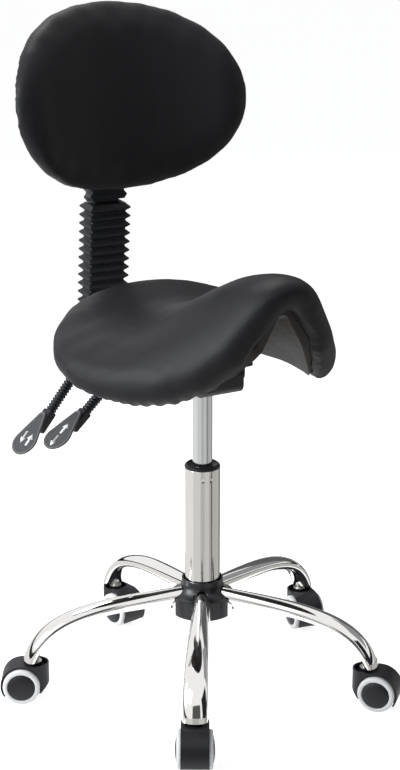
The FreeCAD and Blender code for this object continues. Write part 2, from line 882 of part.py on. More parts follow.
def bolt_spots():
    return [(S.bolt_half * side, rear) for side in (-1, 1) for rear in (-S.bolt_front, S.bolt_back)]


def build_seat_bolts():
    bolts = []
    for x, y in bolt_spots():
        head = Part.makeCylinder(S.bolt_head, S.bolt_head_height, Vector(x, y, S.plate_level - S.bolt_head_height))
        shank = Part.makeCylinder(S.bolt_radius, S.bolt_length, Vector(x, y, S.plate_level))
        bolts.append(head.fuse(shank))
    new_feature("seat_bolts", Part.makeCompound(bolts))


# Levers: each runs out to the sitter's right, bends, and slopes down with its own frame,
# where X runs down the lever and Z is square to the paddle
def lever_frame(rear, reach, slope):
    spin = FreeCAD.Rotation(Vector(0, 0, 1), 180 + float(S.lever_sweep))
    dip = FreeCAD.Rotation(Vector(0, 1, 0), float(slope))
    return FreeCAD.Placement(Vector(-reach, rear, S.lever_level), spin * dip)


def bent_path(points, radius):
    edges = []
    start = points[0]
    for before, corner, after in zip(points, points[1:], points[2:]):
        back = (before - corner).normalize()
        ahead = (after - corner).normalize()
        half_angle = back.getAngle(ahead) / 2
        reach = float(radius) / math.tan(half_angle)
        first = corner + back * reach
        last = corner + ahead * reach
        middle = corner + (back + ahead).normalize() * (float(radius) / math.sin(half_angle) - float(radius))
        edges.append(Part.LineSegment(start, first).toShape())
        edges.append(Part.Arc(first, middle, last).toShape())
        start = last
    edges.append(Part.LineSegment(start, points[-1]).toShape())
    return Part.Wire(edges)


def bent_rod(points, bend, radius):
    path = bent_path(points, bend)
    section = Part.Wire(Part.makeCircle(radius, points[0], points[1] - points[0]))
    return path.makePipeShell([section], True, False)


def build_lever(name, rear, reach, slope):
    frame = lever_frame(rear, reach, slope)
    rod_end = S.boot_start + S.boot_length + S.grip_socket
    points = [
        Vector(-S.lever_root, rear, S.lever_level),
        frame.Base,
        frame.multVec(Vector(rod_end, 0, 0))]
    new_feature(name, bent_rod(points, S.lever_bend, S.lever_radius))
    boot = new_feature(f"{name}_bellows", boot_shape())
    boot.Placement = frame
    build_paddle(name.replace("lever", "paddle")).Placement = frame


def boot_shape():
    pitch = S.boot_length / S.boot_ribs
    rings = []
    for rib in range(round(S.boot_ribs)):
        for share, radius in RIB_STEPS:
            spread = S.boot_root + (S.boot_crest - S.boot_root) * radius
            rings.append(Part.Wire(Part.makeCircle(
                spread, Vector(S.boot_start + pitch * (rib + share), 0, 0), Vector(1, 0, 0))))
    body = Part.makeLoft(rings, True, True)
    bore = Part.makeCylinder(
        S.lever_radius + S.boot_clearance, S.boot_length + 2, Vector(S.boot_start - 1, 0, 0), Vector(1, 0, 0))
    return body.cut(bore)


def build_paddle(name):
    paddle = new_body(name)
    start = S.boot_start + S.boot_length
    grip = outline(sketch_on(paddle, "YZ_Plane", start), [
        (-S.grip_width / 2, -S.grip_height / 2, S.grip_round),
        (S.grip_width / 2, -S.grip_height / 2, S.grip_round),
        (S.grip_width / 2, S.grip_height / 2, S.grip_round),
        (-S.grip_width / 2, S.grip_height / 2, S.grip_round)])
    pad(paddle, grip, S.grip_length)
    neck = start + S.paddle_start
    wide = S.paddle_width / 2
    end = neck + S.paddle_length
    middle = end - wide
    narrow = S.paddle_neck / 2
    plaque = outline(sketch_on(paddle, "XY_Plane", S.grip_height / 2), [
        (neck, -narrow, narrow * PADDLE_ROUND),
        (middle - wide * PADDLE_SHOULDER, -wide * PADDLE_CHEEK, wide),
        (middle, -wide),
        ("arc", wide * ARCH_ROUND, 1),
        (middle, wide),
        (middle - wide * PADDLE_SHOULDER, wide * PADDLE_CHEEK, wide),
        (neck, narrow, narrow * PADDLE_ROUND)])
    pad(paddle, plaque, S.paddle_thickness)
    hole = circle(sketch_on(paddle, "YZ_Plane", start), 0, 0, S.lever_radius + S.press_gap)
    pocket(paddle, hole, S.grip_socket + S.press_gap, backwards=True)
    return paddle


# Curves through evenly spaced values, used for the seat's long sections
def slope_at(values, index):
    low = max(index - 1, 0)
    high = min(index + 1, len(values) - 1)
    return (values[high] - values[low]) / (high - low)


def along_curve(values, share):
    place_on = min(max(share, 0.0), 1.0) * (len(values) - 1)
    index = min(int(place_on), len(values) - 2)
    part = place_on - index
    return ((2 * part ** 3 - 3 * part ** 2 + 1) * values[index]
            + (part ** 3 - 2 * part ** 2 + part) * slope_at(values, index)
            + (3 * part ** 2 - 2 * part ** 3) * values[index + 1]
            + (part ** 3 - part ** 2) * slope_at(values, index + 1))


def end_to_end():
    """Places from -1 to 1 that crowd together towards both ends."""
    steps = range(-HALF_STATIONS, HALF_STATIONS + 1)
    return [math.sin(math.pi / 2 * step / HALF_STATIONS) * END_PLACE for step in steps]


def rounded_share(place_on, power):
    return max(1.0 - abs(place_on) ** power, 0.0) ** (1.0 / power)


# Saddle seat: seen from the front, each cross-section runs straight down from a round
# crest to both sides; the crest line dips at the sitter and rises to the pommel
class SeatSection:
    def __init__(self, place_on):
        self.forward = (S.seat_front - S.seat_back) / 2 + (S.seat_front + S.seat_back) / 2 * place_on
        share = (1 + place_on) / 2
        heights = [S.crest_tail, S.crest_dip, S.crest_middle, S.crest_rise, S.crest_pommel]
        crest = [S.plate_level + height for height in heights]
        drops = [S.drop_tail, S.drop_hip, S.drop_middle, S.drop_thigh, S.drop_front]
        bends = [S.bend_tail, S.bend_hip, S.bend_middle, S.bend_thigh, S.bend_front]
        self.crest = along_curve(crest, share)
        rise = along_curve(crest, share + 0.005) - along_curve(crest, share - 0.005)
        rise = rise / (0.01 * (S.seat_front + S.seat_back))
        power = S.seat_round_front if place_on > 0 else S.seat_round_back
        full = S.seat_half_width - S.seat_narrowing * self.forward - S.seat_pinch * self.forward ** 2
        self.half = full * rounded_share(place_on, power)
        depth = math.sqrt(max(1 - abs(place_on) ** EDGE_POWER, 0.0)) * math.sqrt(1 + rise ** 2)
        self.depth = min(S.seat_thickness * depth, self.half * SLIM_LIMIT)
        self.bend = max(along_curve(bends, share), self.depth / 2 + S.least_bend)
        drop = along_curve(drops, share)
        fall = math.atan2(full, self.bend - drop) - math.acos(self.bend / math.hypot(full, self.bend - drop))
        reach = self.half - self.depth / 2 * math.cos(fall)
        self.fall = min(fall, math.asin(min(1.0, ARC_LIMIT * reach / self.bend)))

    def point(self, run, offset, side=1):
        """A point at a run out along the middle line, and an offset square to it."""
        way = Vector(math.cos(self.fall), 0, -math.sin(self.fall))
        out = Vector(math.sin(self.fall), 0, math.cos(self.fall))
        centre = Vector(0, -self.forward, self.crest - self.bend)
        found = centre + out * float(self.bend + offset) + way * float(run)
        return Vector(found.x * side, found.y, found.z)

    def crown(self, offset):
        return Vector(0, -self.forward, self.crest + offset)

    def edge_run(self):
        start = self.bend * math.sin(self.fall)
        return (self.half - self.depth / 2 * math.cos(self.fall) - start) / math.cos(self.fall)

    def face(self, run, offset, direction):
        ends = [self.point(run, offset, -direction), self.point(0, offset, -direction),
                self.point(0, offset, direction), self.point(run, offset, direction)]
        return [
            Part.LineSegment(ends[0], ends[1]).toShape(),
            Part.Arc(ends[1], self.crown(offset), ends[2]).toShape(),
            Part.LineSegment(ends[2], ends[3]).toShape()]

    def cushion(self):
        half = self.depth / 2
        run = self.edge_run()
        edges = self.face(run, half, 1)
        edges += self.roll(run, half, 1)
        edges += self.face(run, -half, -1)
        edges += self.roll(run, half, -1)
        return Part.Wire(edges)

    def roll(self, run, radius, side):
        spots = [self.point(run + radius * math.sin(angle), radius * math.cos(angle), side)
                 for angle in (0, math.pi / 4, math.pi / 2, math.pi * 3 / 4, math.pi)]
        if side < 0:
            spots.reverse()
        return [Part.Arc(*spots[:3]).toShape(), Part.Arc(*spots[2:]).toShape()]

    def slab(self, low, high, inset):
        run = self.edge_run() + self.depth / 2 - inset
        edges = self.face(run, high, 1)
        edges.append(Part.LineSegment(self.point(run, high, 1), self.point(run, low, 1)).toShape())
        edges += self.face(run, low, -1)
        edges.append(Part.LineSegment(self.point(run, low, -1), self.point(run, high, -1)).toShape())
        return Part.Wire(edges)


def seat_stations(inset):
    reach = 1 - 2 * inset / (S.seat_front + S.seat_back)
    return [SeatSection(place_on * reach) for place_on in end_to_end()]


def seat_slab(low, high, inset):
    under = -S.seat_thickness / 2
    wires = [station.slab(under + low, under + high, inset) for station in seat_stations(inset)]
    return Part.makeLoft(wires, True, True)


def build_seat():
    board = seat_slab(0, S.board_thickness, S.board_inset)
    block_top = S.plate_level + S.crest_pommel
    block_foot = S.plate_level + S.plate_thickness
    block = Part.makeBox(
        S.block_half * 2, S.plate_front + S.plate_back - S.block_inset * 2, block_top - block_foot,
        Vector(-S.block_half, -S.plate_front + S.block_inset, block_foot))
    above = seat_slab(S.board_thickness / 2, S.seat_thickness * 3, S.board_inset)
    block = block.cut(above)
    board = board.fuse(block)
    for x, y in bolt_spots():
        board = board.cut(Part.makeCylinder(
            S.bolt_radius + S.press_gap, S.bolt_length + S.press_gap, Vector(x, y, S.plate_level)))
    new_feature("seat_board", board)
    cushion = Part.makeLoft([station.cushion() for station in seat_stations(0)], True, True)
    gap = S.board_gap
    recess = seat_slab(-S.board_thickness, S.board_thickness + gap, S.board_inset - gap)
    new_feature("seat_pad", cushion.cut(recess))


# Back support
def bar_spot(level):
    lean = math.tan(math.radians(S.back_lean))
    return Vector(0, S.bar_kink_rear + (level - S.bar_kink_level) * lean, level)


def build_back_bar():
    bar = new_body("back_bar")
    lean = S.back_lean
    rise = S.bar_top_level - S.bar_kink_level
    tangent = sine(lean) / cosine(lean)
    path = outline(sketch_on(bar, "YZ_Plane"), [
        (S.back_pivot_rear, S.back_pivot_level),
        (S.bar_foot_rear, S.back_pivot_level, S.bar_bend),
        (S.bar_kink_rear, S.bar_kink_level, S.bar_kink_bend),
        (S.bar_kink_rear + rise * tangent, S.bar_top_level)], closed=False)
    half = S.bar_width / 2
    thick = S.bar_thickness / 2
    section = outline(sketch_on(bar, "XZ_Plane", -S.back_pivot_rear), [
        (-half, S.back_pivot_level - thick),
        (half, S.back_pivot_level - thick),
        (half, S.back_pivot_level + thick),
        (-half, S.back_pivot_level + thick)])
    pipe = bar.newObject("PartDesign::AdditivePipe", "back_bar_pipe")
    pipe.Profile = section
    pipe.Spine = path
    knuckle = circle(sketch_on(bar, "YZ_Plane"), S.back_pivot_rear, S.back_pivot_level, S.knuckle_radius)
    pad(bar, knuckle, S.bar_width, symmetric=True)
    bore = circle(sketch_on(bar, "YZ_Plane"), S.back_pivot_rear, S.back_pivot_level,
                  S.back_pin_radius + S.running_gap)
    pocket(bar, bore, S.bar_width + 2, symmetric=True)


def rounded_ring(half_x, half_y, corner, level):
    edges = []
    inner_x, inner_y = half_x - corner, half_y - corner
    turns = ((1, 1, 0), (-1, 1, 90), (-1, -1, 180), (1, -1, 270))
    spots = []
    for side_x, side_y, angle in turns:
        centre = Vector(side_x * inner_x, side_y * inner_y, level)
        spots.append([centre + Vector(math.cos(math.radians(angle + step)), math.sin(math.radians(angle + step)), 0)
                      * float(corner) for step in (0, 45, 90)])
    for index, arc in enumerate(spots):
        edges.append(Part.Arc(*arc).toShape())
        edges.append(Part.LineSegment(arc[2], spots[(index + 1) % 4][0]).toShape())
    return Part.Wire(edges)


def ribbed_sleeve(crest, fold_x, fold_y, ribs, corner, cuff_foot):
    half_x, half_y = crest
    pitch = S.sleeve_pitch
    rings = []
    for rib in range(round(ribs)):
        for share, out in RIB_STEPS:
            back = 1 - out
            rings.append(rounded_ring(half_x - fold_x * back, half_y - fold_y * back, corner, pitch * (rib + share)))
    body = Part.makeLoft(rings, True, True)
    length = pitch * round(ribs)
    gap = S.sleeve_gap
    wide = S.bar_width / 2 + gap
    thick = S.bar_thickness / 2 + gap
    hollow_x = half_x - fold_x - S.sleeve_wall
    hollow_y = half_y - fold_y - S.sleeve_wall
    cuff = S.sleeve_cuff
    body = body.cut(Part.makeBox(wide * 2, thick * 2, length + 2, Vector(-wide, -thick, -1)))
    return body.cut(Part.makeBox(
        hollow_x * 2, hollow_y * 2, length - cuff - cuff_foot, Vector(-hollow_x, -hollow_y, cuff_foot)))


def build_sleeves():
    heel = Vector(0, S.bar_foot_rear, S.back_pivot_level)
    kink = Vector(0, S.bar_kink_rear, S.bar_kink_level)
    way = (kink - heel).normalize()
    lower = ribbed_sleeve((S.sleeve_width / 2, S.sleeve_depth / 2), S.sleeve_fold, S.sleeve_fold,
                          S.sleeve_ribs, S.sleeve_corner, S.sleeve_cuff)
    boot = new_feature("post_bellows", lower)
    tilt = FreeCAD.Rotation(Vector(0, 0, 1), way)
    boot.Placement = FreeCAD.Placement(heel + way * float((S.sleeve_foot - S.back_pivot_level) / way.z), tilt)
    upper = ribbed_sleeve((S.upper_width / 2, S.upper_depth / 2), S.upper_fold, 0,
                          S.upper_ribs, S.upper_corner, OPEN_END)
    sleeve = new_feature("back_sleeve", upper)
    way = (bar_spot(S.bar_top_level) - kink).normalize()
    foot = S.sleeve_foot + S.sleeve_pitch * S.sleeve_ribs * math.cos(math.radians(S.back_lean)) + S.sleeve_joint
    sleeve.Placement = FreeCAD.Placement(bar_spot(foot), FreeCAD.Rotation(Vector(0, 0, 1), way))


# Back pad, built upright round the axis that its wings wrap, then leaned back
class BackSection:
    def __init__(self, place_on):
        self.place_on = place_on
        self.angle = float(S.back_arc) / 2 * place_on / float(S.back_wrap)
        self.half = S.back_height / 2 * rounded_share(place_on, S.back_round)
        self.middle = -S.back_sag * place_on ** 2
        self.depth = S.back_thickness * math.sqrt(max(1 - abs(place_on) ** BACK_EDGE_POWER, 0.0))

    def point(self, out, height):
        """A point at an offset towards the sitter from the pad's back face, at a height."""
        radius = S.back_wrap + S.back_thickness / 2 - out
        return Vector(-radius * math.sin(self.angle), radius * math.cos(self.angle) - S.back_wrap,
                      self.middle + height)

    def cushion(self):
        depth = min(self.depth, self.half * SLIM_LIMIT)
        radius = depth / 2
        tall = self.half - radius
        crown = S.back_crown * (self.half * 2 / S.back_height)
        front = [self.point(depth, -tall), self.point(depth + crown, 0), self.point(depth, tall)]
        edges = [Part.Arc(*front).toShape()]
        edges += self.roll(radius, tall, 1)
        edges.append(Part.LineSegment(self.point(0, tall), self.point(0, -tall)).toShape())
        edges += self.roll(radius, tall, -1)
        return Part.Wire(edges)

    def roll(self, radius, tall, side):
        spots = [self.point(radius + radius * math.cos(angle), side * (tall + radius * math.sin(angle)))
                 for angle in (0, math.pi / 4, math.pi / 2, math.pi * 3 / 4, math.pi)]
        if side < 0:
            spots.reverse()
        return [Part.Arc(*spots[:3]).toShape(), Part.Arc(*spots[2:]).toShape()]

    def slab(self, near, far, inset):
        tall = self.half - inset
        corners = [self.point(near, -tall), self.point(near, tall), self.point(far, tall), self.point(far, -tall)]
        return Part.Wire([Part.LineSegment(start, end).toShape()
                          for start, end in zip(corners, corners[1:] + corners[:1])])


def build_back_pad():
    frame = FreeCAD.Placement(
        Vector(0, S.back_rear, S.back_level), FreeCAD.Rotation(Vector(1, 0, 0), -float(S.back_lean)))
    cushion = Part.makeLoft([BackSection(place_on).cushion() for place_on in end_to_end()], True, True)
    new_feature("backrest_pad", cushion).Placement = frame
    near = -S.shell_gap
    far = near - S.shell_thickness
    reach = 1 - 2 * S.shell_inset / S.back_arc
    shell = Part.makeLoft(
        [BackSection(place_on * reach).slab(near, far, S.shell_inset) for place_on in end_to_end()],
        True, True)
    bar_front = bar_reach() - S.bar_thickness / 2 - S.bracket_gap - S.bracket_wall
    boss_half = S.bar_width / 2 + S.bracket_gap + S.bracket_wall
    boss_from = S.back_thickness / 2 + S.shell_gap + S.shell_thickness / 2
    boss = Part.makeBox(boss_half * 2, bar_front - boss_from, S.bracket_height,
                        Vector(-boss_half, boss_from, -S.bracket_low))
    new_feature("backrest_shell", shell.fuse(boss)).Placement = frame
    build_bracket(frame, bar_front, boss_half)


def bar_reach():
    """The bar's distance behind the pad's middle, square to the pad."""
    lean = math.radians(S.back_lean)
    level = S.back_level
    return (bar_spot(level).y - S.back_rear) * math.cos(lean)


def build_bracket(frame, front, half):
    gap = S.bracket_gap
    deep = S.bar_thickness + (gap + S.bracket_wall) * 2
    foot = -S.bracket_low
    outer = Part.makeBox(half * 2, deep, S.bracket_height, Vector(-half, front, foot))
    slot = Part.makeBox(S.bar_width + gap * 2, S.bar_thickness + gap * 2, S.bracket_height + 2,
                        Vector(-S.bar_width / 2 - gap, front + S.bracket_wall, foot - 1))
    new_feature("backrest_bracket", outer.cut(slot)).Placement = frame


def finish():
    DOC.recompute()
    broken = [thing.Name for thing in DOC.Objects if {"Invalid", "Error"} & set(thing.State)]
    empty = [thing.Label for thing in PARTS if thing.Shape.isNull() or not thing.Shape.isValid()]
    if broken or empty:
        raise SystemExit(f"not built: {broken} {empty}")
    os.makedirs("parts", exist_ok=True)
    for thing in PARTS:
        thing.Shape.exportStep(f"parts/{thing.Label}.step")


build_legs()
build_hub()
build_column()
build_gas_spring()
build_casters()
build_stems()
build_mechanism()
build_seat_plate()
build_seat_bolts()
build_lever("lift_lever", S.lift_lever_rear, S.lift_lever_reach, S.lift_lever_slope)
build_lever("tilt_lever", S.tilt_lever_rear, S.tilt_lever_reach, S.tilt_lever_slope)
build_seat()
build_back_bar()
build_sleeves()
build_back_pad()
finish()
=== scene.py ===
import json
import math

import bmesh
import bpy
from bpy.props import FloatProperty, FloatVectorProperty, IntProperty, PointerProperty
from bpy.types import Operator, Panel, PropertyGroup
from mathutils import Matrix, Vector
from mathutils.bvhtree import BVHTree


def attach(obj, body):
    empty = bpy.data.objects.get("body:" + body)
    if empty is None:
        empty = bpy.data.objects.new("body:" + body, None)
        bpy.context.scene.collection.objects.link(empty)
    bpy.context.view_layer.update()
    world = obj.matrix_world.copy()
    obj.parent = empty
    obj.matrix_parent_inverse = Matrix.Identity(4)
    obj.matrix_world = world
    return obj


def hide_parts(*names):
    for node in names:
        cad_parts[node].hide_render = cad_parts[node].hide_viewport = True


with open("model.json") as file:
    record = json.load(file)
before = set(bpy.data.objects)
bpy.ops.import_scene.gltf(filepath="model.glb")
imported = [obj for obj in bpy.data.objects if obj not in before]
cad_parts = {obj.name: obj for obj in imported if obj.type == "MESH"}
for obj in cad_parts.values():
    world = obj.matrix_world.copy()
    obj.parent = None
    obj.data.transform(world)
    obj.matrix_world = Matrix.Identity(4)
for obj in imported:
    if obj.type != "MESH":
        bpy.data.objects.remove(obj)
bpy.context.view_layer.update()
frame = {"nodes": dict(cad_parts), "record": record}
NODES = frame["nodes"]
BODY_OF = {node: body for body, nodes in frame["record"]["behaviour"]["bodies"].items() for node in nodes}

bl_info = {
    "name": "Saddle stool",
    "version": (1, 0, 0),
    "blender": (4, 5, 0),
    "location": "View3D > Sidebar > Stool",
    "description": "Builds the upholstery, chrome and moulded pieces of a saddle stool",
    "category": "Object",
}

MM = 0.001

# Base and casters
ARMS = 5
ARM_SPACING = 360 / ARMS
BASE_TURN = -123.7
ARM_STEPS = 40
ARM_STEPS_PAST_TIP = 5
ARM_ROOT_SIZE = (20, 27)
ARM_TIP_SIZE = (34, 18)
ARM_WALL = 1.6 * MM
SOCKET_DEPTH = 7 * MM
ARM_FOOT_LEVEL = 0.06
STEM_CIRCLE = 0.244
CASTER_TRAIL = 0.0192
WHEEL_LEVEL = 0.026
CASTER_TURNS = (-121.5, -49.9, -101.5, -79.5, 149.7)
AXLE_BORE = 3.05 * MM
CAP_RADIUS = 19.5 * MM
TREAD_BORE = 19.6 * MM
TREAD_RADIUS = 26 * MM
WHEEL_NEAR = 9.5 * MM
WHEEL_FACE = 23.9 * MM

# Levers: how far behind and beside the column each bend is, and its slope in degrees
LEVERS = {"lift": (69, 103, 34), "tilt": (115, 139, 43)}
LEVER_LEVEL = 0.449
LEVER_HEADING = 195
PADDLE_TOP = 9.32 * MM

# Back support
PITCH = 13.2 * MM
LOWER_RIBS = 12
UPPER_RIBS = 6
BAR_LEAN = math.radians(8.5)
BAR_FOOT = Vector((0, 0.293, 0.455))
BAR_KINK = Vector((0, 0.2745, 0.664))
LOWER_SLEEVE_RISE = 0.042
UPPER_SLEEVE_GAP = 0.0045

# Upholstery
FIRST_RELAX = 6
SETTLED_RELAX = 14
SETTLING_FRAMES = 20
FULLNESS = 0.003
PLEAT_SLOPE = 0.6
PAD_MIDDLE = 0.813
TAPER_TOP = 0.815
TAPER_RUN = 0.1
TAPER = 0.045


class StoolSizes(PropertyGroup):
    cover_voxel: FloatProperty(
        name="Cover weave", description="Spacing of the points that the two covers are made of",
        default=0.005, min=0.003, unit="LENGTH")
    foam_pressure: FloatProperty(
        name="Foam pressure", description="How hard the foam pushes its cover outwards", default=4.0)
    foam_swell: FloatProperty(
        name="Foam swell", description="The most that a cover moves while it settles",
        default=0.005, unit="LENGTH")
    under_pleats: IntProperty(
        name="Pleats", description="Folds of the cover where it is gathered under the seat", default=58)
    pleat_depth: FloatProperty(
        name="Pleat depth", description="Depth of each gathered fold", default=0.0013, unit="LENGTH")
    lamp_power: FloatProperty(
        name="Lamp power", description="Strength of the main soft lamp", default=26.0)


class StoolColours(PropertyGroup):
    cover: FloatVectorProperty(
        name="Cover", description="Black coated cloth of the seat and the back pad",
        subtype="COLOR", size=3, default=(0.0105, 0.0105, 0.0125))
    bellows: FloatVectorProperty(
        name="Bellows", description="Rubber of the ribbed sleeves",
        subtype="COLOR", size=3, default=(0.011, 0.012, 0.015))
    chrome: FloatVectorProperty(
        name="Chrome", description="Plated tube", subtype="COLOR", size=3, default=(0.84, 0.83, 0.82))
    tyre: FloatVectorProperty(
        name="Tyre", description="Pale tread of the caster wheels",
        subtype="COLOR", size=3, default=(0.9, 0.9, 0.91))


# Shader groups, each of which puts out a mask and a height that change over the surface
def shader_group(name, inputs):
    group = bpy.data.node_groups.new(name, "ShaderNodeTree")
    for label, value in inputs.items():
        socket = group.interface.new_socket(name=label, in_out="INPUT", socket_type="NodeSocketFloat")
        socket.default_value = value
    for label in ("Mask", "Height"):
        group.interface.new_socket(name=label, in_out="OUTPUT", socket_type="NodeSocketFloat")
    nodes = group.nodes
    return group, nodes, group.links.new, nodes.new("NodeGroupInput"), nodes.new("NodeGroupOutput")


def object_points(nodes, link, stretch=(1, 1, 1)):
    place = nodes.new("ShaderNodeTexCoord")
    turn = nodes.new("ShaderNodeMapping")
    turn.inputs["Scale"].default_value = stretch
    link(place.outputs["Object"], turn.inputs["Vector"])
    return turn.outputs["Vector"]


def noise(nodes, link, points, scale, detail=4.0, rough=0.55):
    texture = nodes.new("ShaderNodeTexNoise")
    texture.inputs["Detail"].default_value = detail
    texture.inputs["Roughness"].default_value = rough
    link(points, texture.inputs["Vector"])
    if isinstance(scale, float):
        texture.inputs["Scale"].default_value = scale
    else:
        link(scale, texture.inputs["Scale"])
    return texture.outputs["Fac"]


def arithmetic(nodes, link, kind, first, second):
    step = nodes.new("ShaderNodeMath")
    step.operation = kind
    for socket, value in zip(step.inputs, (first, second)):
        if isinstance(value, float):
            socket.default_value = value
        else:
            link(value, socket)
    return step.outputs[0]


def make_leather_grain():
    """Small pebbles split by creases, over a slow waviness of the cover."""
    group, nodes, link, given, out = shader_group("Leather grain", {"Scale": 900.0, "Waviness": 0.5})
    points = object_points(nodes, link)
    cells = nodes.new("ShaderNodeTexVoronoi")
    cells.feature = "DISTANCE_TO_EDGE"
    link(points, cells.inputs["Vector"])
    link(given.outputs["Scale"], cells.inputs["Scale"])
    crease = nodes.new("ShaderNodeMapRange")
    crease.inputs["From Max"].default_value = 0.16
    link(cells.outputs["Distance"], crease.inputs["Value"])
    wave = noise(nodes, link, points, 26.0, 3.0)
    slow = arithmetic(nodes, link, "MULTIPLY", wave, given.outputs["Waviness"])
    link(arithmetic(nodes, link, "ADD", crease.outputs["Result"], slow), out.inputs["Height"])
    link(noise(nodes, link, points, 60.0, 5.0), out.inputs["Mask"])
    return group


def make_moulded_grain():
    """Fine spark-eroded texture of a moulded piece, with faint cloudy handling marks."""
    group, nodes, link, given, out = shader_group("Moulded grain", {"Scale": 2200.0})
    points = object_points(nodes, link)
    link(noise(nodes, link, points, given.outputs["Scale"], 2.0, 0.7), out.inputs["Height"])
    link(noise(nodes, link, points, 95.0, 5.0, 0.62), out.inputs["Mask"])
    return group


def make_polish_marks():
    """Faint long marks of polishing and small dull spots on plated metal."""
    group, nodes, link, given, out = shader_group("Polish marks", {"Scale": 70.0})
    points = object_points(nodes, link, (1, 1, 6))
    link(noise(nodes, link, points, given.outputs["Scale"], 6.0, 0.6), out.inputs["Mask"])
    slow = object_points(nodes, link)
    link(noise(nodes, link, slow, 45.0, 2.0, 0.4), out.inputs["Height"])
    return group


def make_board_grain():
    """Long wavy lines of a plywood face."""
    group, nodes, link, given, out = shader_group("Board grain", {"Scale": 60.0})
    points = object_points(nodes, link, (9, 1, 1))
    lines = noise(nodes, link, points, given.outputs["Scale"], 6.0, 0.6)
    link(lines, out.inputs["Mask"])
    link(lines, out.inputs["Height"])
    return group


GROUPS = {}
FINISHES = {}


def grain(name):
    makers = {"Leather grain": make_leather_grain, "Moulded grain": make_moulded_grain,
              "Polish marks": make_polish_marks, "Board grain": make_board_grain}
    if name not in GROUPS:
        GROUPS[name] = makers[name]()
    return GROUPS[name]


def finish(name, colour, pattern, rough, shade=0.75, bump=0.15, depth=0.0002, scale=None, **own):
    """A material whose colour and gloss wander with its pattern's mask."""
    if name in FINISHES:
        return FINISHES[name]
    material = bpy.data.materials.new(name)
    material.use_nodes = True
    nodes, link = material.node_tree.nodes, material.node_tree.links.new
    shader = nodes["Principled BSDF"]
    for socket, value in own.items():
        shader.inputs[socket.replace("_", " ")].default_value = value
    marks = nodes.new("ShaderNodeGroup")
    marks.node_tree = grain(pattern)
    if scale:
        marks.inputs["Scale"].default_value = scale
    tone = nodes.new("ShaderNodeMix")
    tone.data_type = "RGBA"
    tone.inputs[6].default_value = (*[part * shade for part in colour], 1)
    tone.inputs[7].default_value = (*[min(part / shade, 1.0) for part in colour], 1)
    link(marks.outputs["Mask"], tone.inputs["Factor"])
    link(tone.outputs[2], shader.inputs["Base Color"])
    gloss = nodes.new("ShaderNodeMapRange")
    gloss.inputs["From Min"].default_value = 0.25
    gloss.inputs["From Max"].default_value = 0.75
    gloss.inputs["To Min"].default_value, gloss.inputs["To Max"].default_value = rough
    link(marks.outputs["Mask"], gloss.inputs["Value"])
    link(gloss.outputs["Result"], shader.inputs["Roughness"])
    relief = nodes.new("ShaderNodeBump")
    relief.inputs["Strength"].default_value = bump
    relief.inputs["Distance"].default_value = depth
    link(marks.outputs["Height"], relief.inputs["Height"])
    link(relief.outputs["Normal"], shader.inputs["Normal"])
    FINISHES[name] = material
    return material


def chrome():
    colour = bpy.context.scene.stool_colours.chrome
    return finish("Chrome plate", colour, "Polish marks", (0.045, 0.1), shade=0.97, bump=0.03, depth=0.0004,
                  Metallic=1.0)


def spring_steel():
    return finish("Spring tube plate", (0.76, 0.78, 0.8), "Polish marks", (0.12, 0.2), shade=0.95, bump=0.03,
                  depth=0.0003, Metallic=1.0)


def cover_cloth():
    colour = bpy.context.scene.stool_colours.cover
    return finish("Black coated cloth", colour, "Leather grain", (0.42, 0.5), shade=0.88, bump=0.22,
                  depth=0.00025, scale=850.0, Specular_IOR_Level=0.2)


def sleeve_rubber():
    colour = bpy.context.scene.stool_colours.bellows
    return finish("Sleeve rubber", colour, "Moulded grain", (0.38, 0.5), shade=0.8, bump=0.12, depth=0.0001,
                  Specular_IOR_Level=0.3)


def moulded_black():
    return finish("Moulded black", (0.013, 0.013, 0.015), "Moulded grain", (0.34, 0.46), shade=0.8, bump=0.16,
                  depth=0.00015, Specular_IOR_Level=0.32)


def hub_black():
    return finish("Hub moulding", (0.012, 0.0125, 0.015), "Moulded grain", (0.26, 0.36), shade=0.85,
                  bump=0.08, depth=0.0001, Specular_IOR_Level=0.45)


def caster_black():
    return finish("Caster moulding", (0.013, 0.013, 0.016), "Moulded grain", (0.36, 0.5), shade=0.8, bump=0.2,
                  depth=0.0002, Specular_IOR_Level=0.3)


def cap_black():
    return finish("Wheel cap", (0.012, 0.012, 0.016), "Moulded grain", (0.42, 0.54), shade=0.75, bump=0.5,
                  depth=0.0003, scale=900.0, Specular_IOR_Level=0.3)


def pale_tyre():
    colour = bpy.context.scene.stool_colours.tyre
    return finish("Pale tyre", colour, "Moulded grain", (0.42, 0.55), shade=0.95, bump=0.1, depth=0.0001)


def painted_steel():
    return finish("Black paint", (0.014, 0.014, 0.015), "Moulded grain", (0.3, 0.42), shade=0.75, bump=0.25,
                  depth=0.0002, scale=700.0)


def bright_steel():
    return finish("Zinc plate", (0.55, 0.54, 0.52), "Polish marks", (0.28, 0.4), shade=0.85, bump=0.1,
                  depth=0.0002, Metallic=1.0)


def board_wood():
    return finish("Seat board", (0.012, 0.009, 0.0075), "Board grain", (0.55, 0.72), shade=0.55, bump=0.3,
                  depth=0.0003)


def panel_grey():
    return finish("Paddle panel", (0.035, 0.036, 0.04), "Moulded grain", (0.4, 0.52), shade=0.8, bump=0.15,
                  depth=0.0001)


def rim_grey():
    return finish("Paddle rim", (0.09, 0.09, 0.095), "Moulded grain", (0.35, 0.45), shade=0.85, bump=0.1,
                  depth=0.0001)


def symbol_white():
    return finish("Symbol print", (0.78, 0.79, 0.8), "Moulded grain", (0.45, 0.6), shade=0.94, bump=0.1,
                  depth=0.00005)


